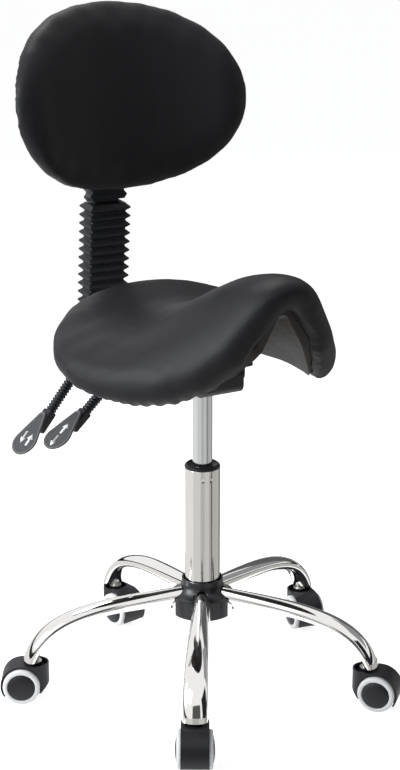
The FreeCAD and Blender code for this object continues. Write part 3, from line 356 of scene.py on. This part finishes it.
# Mesh helpers
def add_piece(name, mesh, body, material=None, node=None):
    piece = bpy.data.objects.new(name, mesh)
    bpy.context.scene.collection.objects.link(piece)
    for polygon in mesh.polygons:
        polygon.use_smooth = True
    if material:
        mesh.materials.clear()
        mesh.materials.append(material)
    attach(piece, body)
    if node:
        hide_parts(node)
    return piece


def mesh_from(bm, name, flip_check=True):
    if flip_check:
        bmesh.ops.recalc_face_normals(bm, faces=bm.faces)
    mesh = bpy.data.meshes.new(name)
    bm.to_mesh(mesh)
    bm.free()
    return mesh


def soften_edges(piece, width, segments=2, angle=32):
    bevel = piece.modifiers.new("Soft edges", "BEVEL")
    bevel.width = width
    bevel.segments = segments
    bevel.limit_method = "ANGLE"
    bevel.angle_limit = math.radians(angle)
    bevel.use_clamp_overlap = True
    shade = piece.modifiers.new("Even shading", "WEIGHTED_NORMAL")
    shade.keep_sharp = True
    return piece


def merged_copy(node):
    """A bmesh of a CAD node with its loose triangles joined up."""
    bm = bmesh.new()
    bm.from_mesh(NODES[node].data)
    bmesh.ops.remove_doubles(bm, verts=bm.verts, dist=0.00001)
    return bm


def refine(node, material, width=0.0004, segments=2, flat=1.0):
    """The node's own form with its flat faces joined, edges softened and shading evened."""
    bm = merged_copy(node)
    bmesh.ops.dissolve_limit(bm, angle_limit=math.radians(flat), verts=bm.verts, edges=bm.edges,
                             use_dissolve_boundaries=False, delimit=set())
    name = f"{node}_finish"
    piece = add_piece(name, mesh_from(bm, name, False), BODY_OF[node], material, node)
    return soften_edges(piece, width, segments)


def turned(name, profile, place, body, material, node=None, steps=72, width=0.0004):
    """A closed profile of (radius, height) spun round the local Z axis."""
    bm = bmesh.new()
    ring = [bm.verts.new((radius, 0, height)) for radius, height in profile]
    edges = [bm.edges.new((ring[i - 1], ring[i])) for i in range(len(ring))]
    bmesh.ops.spin(bm, geom=ring + edges, cent=(0, 0, 0), axis=(0, 0, 1), angle=math.tau, steps=steps,
                   use_merge=True, use_duplicate=False)
    bmesh.ops.remove_doubles(bm, verts=bm.verts, dist=0.000005)
    bmesh.ops.dissolve_degenerate(bm, edges=bm.edges, dist=0.000001)
    bmesh.ops.transform(bm, matrix=place, verts=bm.verts)
    piece = add_piece(name, mesh_from(bm, name), body, material, node)
    return soften_edges(piece, width) if width else piece


def sweep(bm, ring, frames):
    """Extrudes a ring of points from frame to frame and returns its first and last rings."""
    edges = [edge for edge in bm.edges if all(vert in ring for vert in edge.verts)]
    bmesh.ops.transform(bm, matrix=frames[0], verts=ring)
    first = list(ring)
    before = frames[0]
    for place in frames[1:]:
        made = bmesh.ops.extrude_edge_only(bm, edges=edges)["geom"]
        ring = [thing for thing in made if isinstance(thing, bmesh.types.BMVert)]
        edges = [thing for thing in made if isinstance(thing, bmesh.types.BMEdge)
                 and all(vert in ring for vert in thing.verts)]
        bmesh.ops.transform(bm, matrix=place @ before.inverted(), verts=ring)
        before = place
    return first, ring


def size_at(spot, rotation, width, height):
    return Matrix.Translation(spot) @ rotation @ Matrix.Diagonal((width, height, 1, 1))


# Base
def arm_curve(share):
    """A point on an arm's middle line and the way it runs, in the arm's own plane."""
    slope, tip = math.radians(1.5), math.radians(71.4)
    start, end = Vector((26.5, 0, 131.4)), Vector((251, 0, 60))
    second = start + Vector((math.cos(slope), 0, -math.sin(slope))) * 114
    third = end - Vector((math.cos(tip), 0, -math.sin(tip))) * 72
    rest = 1 - share
    spot = (start * rest ** 3 + second * (3 * rest ** 2 * share)
            + third * (3 * rest * share ** 2) + end * share ** 3)
    way = (second - start) * rest ** 2 + (third - second) * (2 * rest * share) + (end - third) * share ** 2
    return spot * MM, way.normalized()


def make_arm(number):
    bm = bmesh.new()
    ring = bmesh.ops.create_circle(bm, cap_ends=False, radius=1, segments=40)["verts"]
    frames = []
    across = Vector((0, 1, 0))
    for step in range(ARM_STEPS + ARM_STEPS_PAST_TIP):
        share = step / ARM_STEPS
        spot, way = arm_curve(share)
        grown = 1 - (1 - min(share, 1.0)) ** 2
        width, height = (
            (root + (tip - root) * grown) / 2 * MM for root, tip in zip(ARM_ROOT_SIZE, ARM_TIP_SIZE))
        rotation = Matrix((across, way.cross(across), way)).transposed().to_4x4()
        frames.append(size_at(spot, rotation, width, height))
    first = sweep(bm, ring, frames)[0]
    bmesh.ops.contextual_create(bm, geom=first)
    cut = bmesh.ops.bisect_plane(bm, geom=bm.verts[:] + bm.edges[:] + bm.faces[:],
                                 plane_co=(0, 0, ARM_FOOT_LEVEL), plane_no=(0, 0, -1),
                                 clear_outer=True)["geom_cut"]
    rim = [thing for thing in cut if isinstance(thing, bmesh.types.BMEdge)]
    floor = bmesh.ops.contextual_create(bm, geom=rim)["faces"]
    bmesh.ops.inset_region(bm, faces=floor, thickness=ARM_WALL, use_even_offset=True)
    mouth = list({vert for face in floor for vert in face.verts})
    bmesh.ops.translate(bm, vec=(0, 0, SOCKET_DEPTH), verts=mouth)
    turn = Matrix.Rotation(math.radians(BASE_TURN + number * ARM_SPACING), 4, "Z")
    bmesh.ops.transform(bm, matrix=turn, verts=bm.verts)
    node = f"leg_{number + 1}"
    name = f"arm_{number + 1}_tube"
    piece = add_piece(name, mesh_from(bm, name), "base", chrome(), node)
    return soften_edges(piece, 0.0003)


class STOOL_OT_base(Operator):
    """Make the five chromed arms, the hub moulding and the caster stems"""
    bl_idname = "stool.base"
    bl_label = "Base"

    def execute(self, context):
        for number in range(ARMS):
            make_arm(number)
        refine("hub_core", bright_steel())
        refine("hub_cover", hub_black(), width=0.0008, segments=3)
        refine("caster_stems", bright_steel())
        return {"FINISHED"}


class STOOL_OT_column(Operator):
    """Make the chromed column with its end bush and the gas spring"""
    bl_idname = "stool.column"
    bl_label = "Column"

    def execute(self, context):
        refine("column_tube", chrome(), width=0.0005, segments=3)
        refine("guide_bush", moulded_black(), width=0.0006, segments=3)
        refine("thrust_bearing", bright_steel())
        refine("piston_rod", bright_steel())
        radius = 14 * MM
        bore, foot, neck, top = 5.05 * MM, 0.218, 0.437, 0.473
        profile = [(bore, foot), (radius, foot), (radius, neck), (12.8 * MM, neck), (12.33 * MM, top),
                   (bore, top)]
        turned("gas_spring_body", profile, Matrix(), "lift", spring_steel(), "gas_spring_tube",
               steps=96)
        return {"FINISHED"}


# Casters
def wheel_frame(number, flip):
    """The place of a wheel, with its axle along local Z and its outer face up."""
    arm = math.radians(BASE_TURN + number * ARM_SPACING)
    heading = math.radians(CASTER_TURNS[number])
    stem = Vector((math.cos(arm), math.sin(arm), 0)) * STEM_CIRCLE
    trail = Vector((math.cos(heading), math.sin(heading), 0)) * CASTER_TRAIL
    hub = stem + trail + Vector((0, 0, WHEEL_LEVEL))
    turn = Matrix.Rotation(heading + math.pi * flip, 4, "Z")
    return Matrix.Translation(hub) @ turn @ Matrix.Rotation(-math.pi / 2, 4, "X")


class STOOL_OT_casters(Operator):
    """Make the five twin-wheel casters"""
    bl_idname = "stool.casters"
    bl_label = "Casters"

    def execute(self, context):
        near, face = WHEEL_NEAR, WHEEL_FACE
        tread = [
            (TREAD_BORE, near), (TREAD_RADIUS - 0.8 * MM, near), (TREAD_RADIUS, near + 0.8 * MM),
            (TREAD_RADIUS, face - 3 * MM), (25.6 * MM, face - 1.6 * MM), (24.6 * MM, face - 0.5 * MM),
            (23.2 * MM, face), (20.2 * MM, face), (TREAD_BORE, face - 0.6 * MM)]
        cap = [
            (AXLE_BORE, near), (CAP_RADIUS, near), (CAP_RADIUS, face - 0.9 * MM), (19 * MM, face - 0.3 * MM),
            (18.2 * MM, face - 0.3 * MM), (17.8 * MM, face + 0.3 * MM), (12 * MM, face + 1.6 * MM),
            (6 * MM, face + 2.3 * MM), (0.0, face + 2.6 * MM), (0.0, near + 11 * MM),
            (AXLE_BORE, near + 11 * MM)]
        for number in range(ARMS):
            key = f"caster_{number + 1}"
            refine(f"{key}_hood", caster_black(), width=0.0008, segments=3)
            refine(f"{key}_axle", bright_steel())
            for flip, side in enumerate(("left", "right")):
                place = wheel_frame(number, flip)
                body = BODY_OF[f"{key}_wheel_{side}"]
                turned(f"{key}_{side}_tread", tread, place, body, pale_tyre(), f"{key}_tyre_{side}",
                       width=0)
                turned(f"{key}_{side}_cap", cap, place, body, cap_black(), f"{key}_wheel_{side}",
                       width=0)
        return {"FINISHED"}


class STOOL_OT_mechanism(Operator):
    """Make the tilt mechanism under the seat"""
    bl_idname = "stool.mechanism"
    bl_label = "Mechanism"

    def execute(self, context):
        refine("mechanism_base", painted_steel(), width=0.0008, segments=3)
        refine("seat_plate", painted_steel(), width=0.0006)
        refine("seat_bolts", bright_steel(), width=0.0005)
        return {"FINISHED"}


# Levers
def lever_place(key):
    rear, reach, slope = LEVERS[key]
    heading = Matrix.Rotation(math.radians(LEVER_HEADING), 4, "Z")
    turn = heading @ Matrix.Rotation(math.radians(slope), 4, "Y")
    return Matrix.Translation((-reach * MM, rear * MM, LEVER_LEVEL)) @ turn


def make_lever_bellows(key):
    """Small round folds over the lever's bend."""
    profile = [(4.3 * MM, 8.2 * MM), (5.6 * MM, 8.2 * MM)]
    for rib in range(11):
        for share, out in ((0.1, 0.1), (0.3, 0.75), (0.5, 1.0), (0.7, 0.75), (0.9, 0.1)):
            profile.append(((5.5 + 2.1 * out) * MM, (8.4 + (rib + share) * 4.85) * MM))
    profile += [(5.6 * MM, 61.8 * MM), (4.3 * MM, 61.8 * MM)]
    place = lever_place(key) @ Matrix.Rotation(math.pi / 2, 4, "Y")
    turned(f"{key}_lever_folds", profile, place, f"{key}_handle", sleeve_rubber(), f"{key}_lever_bellows",
           steps=36, width=0)


def make_paddle(key):
    """A drop-shaped plaque with a raised rim on a grip block."""
    bm = bmesh.new()
    for radius, spot in ((20.5, 119.5), (6.5, 76.5)):
        bmesh.ops.create_cone(bm, cap_ends=True, segments=64, radius1=radius * MM, radius2=radius * MM,
                              depth=3 * MM, matrix=Matrix.Translation((spot * MM, 0, 8.5 * MM)))
    hull = bmesh.ops.convex_hull(bm, input=bm.verts)
    spare = [thing for thing in hull["geom_interior"] + hull["geom_unused"]
             if isinstance(thing, bmesh.types.BMVert)]
    bmesh.ops.delete(bm, geom=list(set(spare)), context="VERTS")
    bmesh.ops.delete(bm, geom=[face for face in bm.faces if face.calc_area() < 1e-12], context="FACES_ONLY")
    bmesh.ops.dissolve_limit(bm, angle_limit=math.radians(1), verts=bm.verts, edges=bm.edges,
                             use_dissolve_boundaries=False, delimit=set())
    bm.normal_update()
    top = [face for face in bm.faces if face.normal.z > 0.9]
    bmesh.ops.inset_region(bm, faces=top, thickness=2.4 * MM, use_even_offset=True)
    bmesh.ops.inset_region(bm, faces=top, thickness=0.5 * MM, depth=-0.8 * MM, use_even_offset=True)
    for face in bm.faces:
        face.material_index = 1
    for face in top:
        face.material_index = 0
    grip = bmesh.ops.create_cube(bm, size=1, matrix=Matrix.Translation((79 * MM, 0, -0.1 * MM)) @
                                 Matrix.Diagonal((34 * MM, 17 * MM, 14 * MM, 1)))["verts"]
    sides = list({edge for vert in grip for edge in vert.link_edges})
    bmesh.ops.bevel(bm, geom=sides, offset=3.2 * MM, offset_type="OFFSET", affect="EDGES", segments=4,
                    profile=0.5, material=-1)
    for face in bm.faces:
        if face.calc_center_median().z < 6.95 * MM:
            face.material_index = 2
    bmesh.ops.transform(bm, matrix=lever_place(key), verts=bm.verts)
    name = f"{key}_plaque"
    mesh = mesh_from(bm, name)
    for material in (panel_grey(), rim_grey(), moulded_black()):
        mesh.materials.append(material)
    piece = add_piece(name, mesh, f"{key}_handle", None, f"{key}_paddle")
    soften_edges(piece, 0.0005, 3)


def arrow_face(bm, length, place):
    """A flat arrow pointing along +X from the origin."""
    head, stem, wide = 8.5 * MM, 2 * MM, 5.6 * MM
    corners = [(0, -stem), (length - head, -stem), (length - head, -wide), (length, 0),
               (length - head, wide), (length - head, stem), (0, stem)]
    face = bm.faces.new([bm.verts.new((x, y, 0)) for x, y in corners])
    bmesh.ops.transform(bm, matrix=place, verts=face.verts)


def make_symbol(key):
    """Plain arrows: up and down on the lift paddle, and a rocking pair on the tilt paddle."""
    bm = bmesh.new()
    if key == "lift":
        turns = [((117, 0), 0), ((113, 0), 180)]
    else:
        turns = [((125, 6.2), 180), ((104, -6.2), 0)]
    for (x, y), angle in turns:
        spot = Matrix.Translation((x * MM, y * MM, PADDLE_TOP))
        arrow_face(bm, 19 * MM, spot @ Matrix.Rotation(math.radians(angle), 4, "Z"))
    made = bmesh.ops.extrude_face_region(bm, geom=bm.faces[:])["geom"]
    raised = [thing for thing in made if isinstance(thing, bmesh.types.BMVert)]
    bmesh.ops.translate(bm, vec=(0, 0, 0.15 * MM), verts=raised)
    bmesh.ops.transform(bm, matrix=lever_place(key), verts=bm.verts)
    name = f"{key}_arrows"
    add_piece(name, mesh_from(bm, name), f"{key}_handle", symbol_white(), None)


class STOOL_OT_levers(Operator):
    """Make both levers with their folded sleeves, paddles and arrows"""
    bl_idname = "stool.levers"
    bl_label = "Levers"

    def execute(self, context):
        for key in LEVERS:
            refine(f"{key}_lever", painted_steel(), width=0.0005)
            make_lever_bellows(key)
            make_paddle(key)
            make_symbol(key)
        return {"FINISHED"}


# Back support
def rib_ring(bm, corner):
    """A unit ring in the shape of a box with rounded corners, for the sleeves' sections."""
    ring = bmesh.ops.create_circle(bm, cap_ends=False, radius=1, segments=64)["verts"]
    for vert in ring:
        angle = math.atan2(vert.co.y, vert.co.x)
        power = 2 / corner
        vert.co.x = math.copysign(abs(math.cos(angle)) ** power, math.cos(angle))
        vert.co.y = math.copysign(abs(math.sin(angle)) ** power, math.sin(angle))
    return ring


# Shares of a rib's pitch, each with how far out the rubber is there
FOLD = ((0.03, 0.0), (0.1, 0.06), (0.4, 0.88), (0.46, 0.99), (0.54, 0.99), (0.6, 0.88), (0.9, 0.06))
RIB_CORNER = 15


def make_ribbed_sleeve(name, node, foot, way, half, fold, ribs):
    """Sharp box-shaped folds from a foot along a way, with a flat ring at both ends."""
    bm = bmesh.new()
    ring = rib_ring(bm, RIB_CORNER)
    rotation = Vector((0, 0, 1)).rotation_difference(way).to_matrix().to_4x4()
    margin, wall = 0.0003, 3 * MM
    root = (half[0] - fold[0], half[1] - fold[1])
    frames = [size_at(foot + way * margin, rotation, root[0] - wall, root[1] - wall)]
    for rib in range(ribs):
        for share, out in FOLD:
            back = 1 - out
            frames.append(size_at(foot + way * (PITCH * (rib + share)), rotation,
                                  half[0] - fold[0] * back, half[1] - fold[1] * back))
    end = foot + way * (PITCH * ribs - margin)
    frames.append(size_at(end, rotation, *root))
    frames.append(size_at(end, rotation, root[0] - wall, root[1] - wall))
    first, last = sweep(bm, ring, frames)
    bmesh.ops.contextual_create(bm, geom=first)
    bmesh.ops.contextual_create(bm, geom=last)
    piece = add_piece(name, mesh_from(bm, name), "back_post", sleeve_rubber(), node)
    return soften_edges(piece, 0.0004, 2, 30)


class STOOL_OT_back_support(Operator):
    """Make the bar behind the seat with its two ribbed sleeves and the back bracket"""
    bl_idname = "stool.back_support"
    bl_label = "Back support"

    def execute(self, context):
        refine("back_bar", painted_steel(), width=0.0008, segments=3)
        refine("backrest_bracket", moulded_black(), width=0.0008, segments=3)
        way = (BAR_KINK - BAR_FOOT).normalized()
        start = BAR_FOOT + way * (LOWER_SLEEVE_RISE / way.z)
        make_ribbed_sleeve("post_folds", "post_bellows", start, way, (34.3 * MM, 19.8 * MM),
                           (5.9 * MM, 5.7 * MM), LOWER_RIBS)
        lean = math.tan(BAR_LEAN)
        level = start.z + PITCH * LOWER_RIBS * math.cos(BAR_LEAN) + UPPER_SLEEVE_GAP
        upper = Vector((0, BAR_KINK.y + (level - BAR_KINK.z) * lean, level))
        make_ribbed_sleeve("back_folds", "back_sleeve", upper, Vector((0, lean, 1)).normalized(),
                           (31 * MM, 12.1 * MM), (4.2 * MM, 0.5 * MM), UPPER_RIBS)
        return {"FINISHED"}


# Upholstery
def voxel_copy(node, name, voxel):
    """The node's outer form as an even skin of small quads."""
    bm = merged_copy(node)
    mesh = bpy.data.meshes.new(name)
    bm.to_mesh(mesh)
    bm.free()
    rough = bpy.data.objects.new(name, mesh)
    bpy.context.scene.collection.objects.link(rough)
    remesh = rough.modifiers.new("Even skin", "REMESH")
    remesh.mode = "VOXEL"
    remesh.voxel_size = voxel
    view = bpy.context.evaluated_depsgraph_get()
    skin = bpy.data.meshes.new_from_object(rough.evaluated_get(view))
    bpy.data.objects.remove(rough)
    return skin


def relax(mesh, rounds):
    bm = bmesh.new()
    bm.from_mesh(mesh)
    for _ in range(rounds):
        bmesh.ops.smooth_vert(bm, verts=bm.verts, factor=0.5, use_axis_x=True, use_axis_y=True,
                              use_axis_z=True)
    bm.to_mesh(mesh)
    bm.free()


def swell_cover(piece, held, pressure, most):
    """Lets the cover settle on its foam under pressure, with the held points kept where they are."""
    rest = [vert.co.copy() for vert in piece.data.vertices]
    group = piece.vertex_groups.new(name="Held")
    group.add(held, 1.0, "REPLACE")
    cloth = piece.modifiers.new("Foam", "CLOTH")
    settings = cloth.settings
    settings.quality = 6
    settings.mass = 0.35
    settings.tension_stiffness = 22
    settings.compression_stiffness = 22
    settings.bending_stiffness = 4
    settings.vertex_group_mass = group.name
    settings.use_pressure = True
    settings.uniform_pressure_force = pressure
    settings.effector_weights.gravity = 0
    cloth.collision_settings.use_collision = False
    cloth.point_cache.frame_start = 1
    cloth.point_cache.frame_end = SETTLING_FRAMES
    scene = bpy.context.scene
    for number in range(1, SETTLING_FRAMES + 1):
        scene.frame_set(number)
    view = bpy.context.evaluated_depsgraph_get()
    settled = [vert.co.copy() for vert in piece.evaluated_get(view).data.vertices]
    piece.modifiers.remove(cloth)
    piece.vertex_groups.remove(group)
    scene.frame_set(1)
    for vert, new, old in zip(piece.data.vertices, settled, rest):
        move = new - old
        if move.length > most:
            move *= most / move.length
        vert.co = old + move
    piece.data.update()
    relax(piece.data, SETTLED_RELAX)
    kept = set(held)
    normals = [vert.normal.copy() for vert in piece.data.vertices]
    for vert, normal in zip(piece.data.vertices, normals):
        if vert.index not in kept:
            vert.co += normal * FULLNESS
    piece.data.update()


def taper_foot(vert, width):
    """Narrows the back pad towards its foot, as its outline does."""
    low = max(TAPER_TOP - vert.co.z, 0.0)
    vert.co.x *= width - TAPER * min(low / TAPER_RUN, 1.0)


def even_cover(piece):
    smooth = piece.modifiers.new("Even cover", "SUBSURF")
    smooth.levels = smooth.render_levels = 1


def points_near(mesh, node, reach):
    """The points of a mesh that lie within reach of a CAD node."""
    bm = merged_copy(node)
    tree = BVHTree.FromBMesh(bm)
    bm.free()
    return [vert.index for vert in mesh.vertices if tree.find_nearest(vert.co, reach)[0]]


class STOOL_OT_seat(Operator):
    """Make the saddle cushion with its gathered cover, and the board under it"""
    bl_idname = "stool.seat"
    bl_label = "Seat"

    def execute(self, context):
        sizes = context.scene.stool_sizes
        refine("seat_board", board_wood(), width=0.0006)
        skin = voxel_copy("seat_pad", "seat_cushion", sizes.cover_voxel)
        relax(skin, FIRST_RELAX)
        piece = add_piece("seat_cushion", skin, "seat", cover_cloth(), "seat_pad")
        near_board = points_near(skin, "seat_board", 0.009)
        swell_cover(piece, near_board, sizes.foam_pressure, sizes.foam_swell)
        held = set(near_board)
        count = sizes.under_pleats
        for vert in skin.vertices:
            if vert.normal.z < -PLEAT_SLOPE and vert.index not in held:
                turn = math.atan2(vert.co.x, vert.co.y)
                amount = min((-vert.normal.z - PLEAT_SLOPE) / 0.25, 1.0)
                fold = math.sin(turn * count + 1.7 * math.sin(turn * 7))
                vert.co += vert.normal * (sizes.pleat_depth * amount * fold)
        skin.update()
        even_cover(piece)
        return {"FINISHED"}


class STOOL_OT_back_pad(Operator):
    """Make the back cushion and the shell behind it"""
    bl_idname = "stool.back_pad"
    bl_label = "Back pad"

    def execute(self, context):
        sizes = context.scene.stool_sizes
        shell = refine("backrest_shell", moulded_black(), width=0.001, segments=3, flat=3.0)
        for vert in shell.data.vertices:
            taper_foot(vert, 0.95)
            vert.co.z = PAD_MIDDLE + (vert.co.z - PAD_MIDDLE) * 0.945
        skin = voxel_copy("backrest_pad", "back_cushion", sizes.cover_voxel * 0.9)
        relax(skin, FIRST_RELAX)
        piece = add_piece("back_cushion", skin, "backrest", cover_cloth(), "backrest_pad")
        for vert in skin.vertices:
            taper_foot(vert, 1)
        near_shell = points_near(skin, "backrest_shell", 0.003)
        swell_cover(piece, near_shell, sizes.foam_pressure, sizes.foam_swell)
        even_cover(piece)
        return {"FINISHED"}


# Stage
HEADING = math.radians(31.5)
CAMERA_DISTANCE = 2.2
CAMERA_HEIGHT = 1.09443
CAMERA_LOOK = math.radians(31.414)
CAMERA_DIP = math.radians(16.52)
CAMERA_LENS = 77.73
# Name, tone, angle from the camera, distance, height, height aimed at, width and height of each card
CARDS = (
    ("card_front", (0.1, 0.1, 0.1), 5, 3.6, 1.2, 0.8, 2.6, 2.4),
    ("card_right", (0.02, 0.02, 0.024), 60, 2.6, 1.1, 0.8, 2.2, 2.2),
    ("card_far_right", (0.3, 0.3, 0.31), 118, 2.4, 1.75, 0.8, 1.9, 1.8),
    ("card_behind", (0.12, 0.12, 0.125), 158, 2.9, 1.3, 0.9, 3.0, 1.7))
# First angle, last angle and tone of each slice of the floor
FLOOR_SLICES = (
    (-150, -60, 0.86), (-60, -12, 0.7), (-12, 14, 0.5), (14, 44, 0.62), (44, 58, 0.42), (58, 66, 0.12),
    (66, 100, 0.48), (100, 130, 0.5), (130, 185, 0.2))


def studio_floor():
    material = bpy.data.materials.new("Studio floor")
    material.use_nodes = True
    nodes, link = material.node_tree.nodes, material.node_tree.links.new
    shader = nodes["Principled BSDF"]
    marks = noise(nodes, link, object_points(nodes, link), 3.0, 3.0)
    tone = nodes.new("ShaderNodeMix")
    tone.data_type = "RGBA"
    tone.inputs[6].default_value = (0.84, 0.84, 0.84, 1)
    tone.inputs[7].default_value = (0.85, 0.85, 0.85, 1)
    link(marks, tone.inputs["Factor"])
    link(tone.outputs[2], shader.inputs["Base Color"])
    shader.inputs["Roughness"].default_value = 0.9
    shader.inputs["Specular IOR Level"].default_value = 0.0
    shader.inputs["Emission Color"].default_value = (1, 1, 1, 1)
    paths = nodes.new("ShaderNodeLightPath")
    glow = nodes.new("ShaderNodeMapRange")
    glow.inputs["To Min"].default_value, glow.inputs["To Max"].default_value = 0.82, 0.1
    link(paths.outputs["Is Diffuse Ray"], glow.inputs["Value"])
    link(glow.outputs["Result"], shader.inputs["Emission Strength"])
    return material


def card_tone(tone):
    """A card that only reflections see, so that chrome has something to show."""
    material = bpy.data.materials.new("Card")
    material.use_nodes = True
    nodes = material.node_tree.nodes
    nodes.clear()
    glow = nodes.new("ShaderNodeEmission")
    glow.inputs["Color"].default_value = (*tone, 1)
    out = nodes.new("ShaderNodeOutputMaterial")
    material.node_tree.links.new(glow.outputs[0], out.inputs["Surface"])
    return material


def stage_mesh(name, bm, material, hidden):
    thing = bpy.data.objects.new(name, mesh_from(bm, name, False))
    bpy.context.scene.collection.objects.link(thing)
    thing.data.materials.append(material)
    if hidden:
        thing.visible_camera = False
        thing.visible_shadow = False
        thing.visible_diffuse = False


def stage_plane(name, material, place, width, height, hidden=True):
    bm = bmesh.new()
    bmesh.ops.create_grid(bm, x_segments=1, y_segments=1, size=0.5)
    bmesh.ops.transform(bm, matrix=place @ Matrix.Diagonal((width, height, 1, 1)), verts=bm.verts)
    stage_mesh(name, bm, material, hidden)


def floor_card(name, tone, first, last, near=0.34, far=5.0):
    """A slice of the floor, seen only in reflections, between two angles from the camera."""
    bm = bmesh.new()
    corners = [around(angle, distance, 0.003) for angle, distance in
               ((first, near), (first, far), (last, far), (last, near))]
    bm.faces.new([bm.verts.new(corner) for corner in corners])
    stage_mesh(name, bm, card_tone(tone), True)


def skirting(name, tone, distance, low, high):
    """A dark band round the room that draws a line along the arms."""
    bm = bmesh.new()
    bmesh.ops.create_cone(bm, cap_ends=False, segments=64, radius1=distance, radius2=distance,
                          depth=high - low, matrix=Matrix.Translation((0, 0, (low + high) / 2)))
    stage_mesh(name, bm, card_tone(tone), True)


def facing(spot, target):
    way = Vector(target) - Vector(spot)
    return Matrix.Translation(spot) @ way.to_track_quat("-Z", "Y").to_matrix().to_4x4()


def around(angle, distance, height):
    """A spot round the stool, with 0 degrees at the camera and positive angles to its right."""
    turn = HEADING - math.radians(angle)
    return (-math.sin(turn) * distance, -math.cos(turn) * distance, height)


def soft_lamp(name, angle, distance, height, power, size, target=(0, 0, 0.5), colour=(1, 1, 1)):
    lamp = bpy.data.lights.new(name, "AREA")
    lamp.shape = "RECTANGLE"
    lamp.size, lamp.size_y = size
    lamp.energy = power
    lamp.color = colour
    holder = bpy.data.objects.new(name, lamp)
    holder.matrix_world = facing(around(angle, distance, height), target)
    bpy.context.scene.collection.objects.link(holder)


def build_world():
    world = bpy.data.worlds.new("Studio")
    bpy.context.scene.world = world
    world.use_nodes = True
    nodes, link = world.node_tree.nodes, world.node_tree.links.new
    nodes.clear()
    paths = nodes.new("ShaderNodeLightPath")
    seen = arithmetic(nodes, link, "ADD", paths.outputs["Is Camera Ray"], paths.outputs["Is Glossy Ray"])
    seen = arithmetic(nodes, link, "ADD", seen, paths.outputs["Is Transmission Ray"])
    fill = nodes.new("ShaderNodeBackground")
    fill.inputs["Color"].default_value = (0.96, 0.98, 1, 1)
    fill.inputs["Strength"].default_value = 0.2
    white = nodes.new("ShaderNodeBackground")
    white.inputs["Strength"].default_value = 1.0
    white.inputs["Color"].default_value = (1, 1, 1, 1)
    mix = nodes.new("ShaderNodeMixShader")
    out = nodes.new("ShaderNodeOutputWorld")
    link(seen, mix.inputs["Fac"])
    link(fill.outputs[0], mix.inputs[1])
    link(white.outputs[0], mix.inputs[2])
    link(mix.outputs[0], out.inputs["Surface"])


class STOOL_OT_stage(Operator):
    """Set up the pale floor, the soft lamps, the dark cards and the camera"""
    bl_idname = "stool.stage"
    bl_label = "Stage"

    def execute(self, context):
        scene = context.scene
        power = scene.stool_sizes.lamp_power
        below = Matrix.Translation((0, 0, -0.0003))
        stage_plane("studio_floor", studio_floor(), below, 60, 60, hidden=False)
        for name, tone, angle, distance, height, aim, wide, tall in CARDS:
            place = facing(around(angle, distance, height), (0, 0, aim))
            stage_plane(name, card_tone(tone), place, wide, tall)
        for number, (first, last, tone) in enumerate(FLOOR_SLICES):
            floor_card(f"card_floor_{number}", (tone, tone * 0.99, tone * 0.96), first, last)
        skirting("card_skirting", (0.015, 0.015, 0.015), 3.2, 0.16, 0.62)
        soft_lamp("lamp_key", -72, 1.7, 1.05, power * 1.12, (0.9, 0.9), (0, 0, 0.5), (0.93, 0.96, 1))
        soft_lamp("lamp_front", -40, 1.8, 1.7, power * 0.3, (0.8, 0.9), (0, 0, 0.3))
        soft_lamp("lamp_top", -150, 0.8, 2.2, power * 0.5, (0.9, 0.9), (0, 0, 0.5))
        build_world()
        camera = bpy.data.cameras.new("Camera")
        camera.lens = CAMERA_LENS
        camera.sensor_width = 36
        holder = bpy.data.objects.new("Camera", camera)
        holder.location = around(0, CAMERA_DISTANCE, CAMERA_HEIGHT)
        level = math.cos(CAMERA_DIP)
        way = Vector((math.sin(CAMERA_LOOK) * level, math.cos(CAMERA_LOOK) * level, -math.sin(CAMERA_DIP)))
        holder.rotation_mode = "QUATERNION"
        holder.rotation_quaternion = way.to_track_quat("-Z", "Y")
        scene.collection.objects.link(holder)
        scene.camera = holder
        scene.view_settings.view_transform = "Standard"
        return {"FINISHED"}


class STOOL_PT_panel(Panel):
    """Lists the stool's pieces in the sidebar"""
    bl_label = "Saddle stool"
    bl_space_type = "VIEW_3D"
    bl_region_type = "UI"
    bl_category = "Stool"

    def draw(self, context):
        scene = context.scene
        for settings in (scene.stool_sizes, scene.stool_colours):
            for name in settings.bl_rna.properties.keys():
                if name not in ("rna_type", "name"):
                    self.layout.prop(settings, name)
        for operator in OPERATORS:
            self.layout.operator(operator.bl_idname)


OPERATORS = (STOOL_OT_base, STOOL_OT_column, STOOL_OT_casters, STOOL_OT_mechanism, STOOL_OT_levers,
             STOOL_OT_back_support, STOOL_OT_back_pad, STOOL_OT_seat, STOOL_OT_stage)
CLASSES = (StoolSizes, StoolColours, *OPERATORS, STOOL_PT_panel)


def register():
    for item in CLASSES:
        bpy.utils.register_class(item)
    bpy.types.Scene.stool_sizes = PointerProperty(type=StoolSizes)
    bpy.types.Scene.stool_colours = PointerProperty(type=StoolColours)


def unregister():
    del bpy.types.Scene.stool_colours
    del bpy.types.Scene.stool_sizes
    for item in reversed(CLASSES):
        bpy.utils.unregister_class(item)


def main():
    register()
    bpy.ops.stool.base()
    bpy.ops.stool.column()
    bpy.ops.stool.casters()
    bpy.ops.stool.mechanism()
    bpy.ops.stool.levers()
    bpy.ops.stool.back_support()
    bpy.ops.stool.back_pad()
    bpy.ops.stool.seat()
    bpy.ops.stool.stage()


if __name__ == "__main__":
    main()
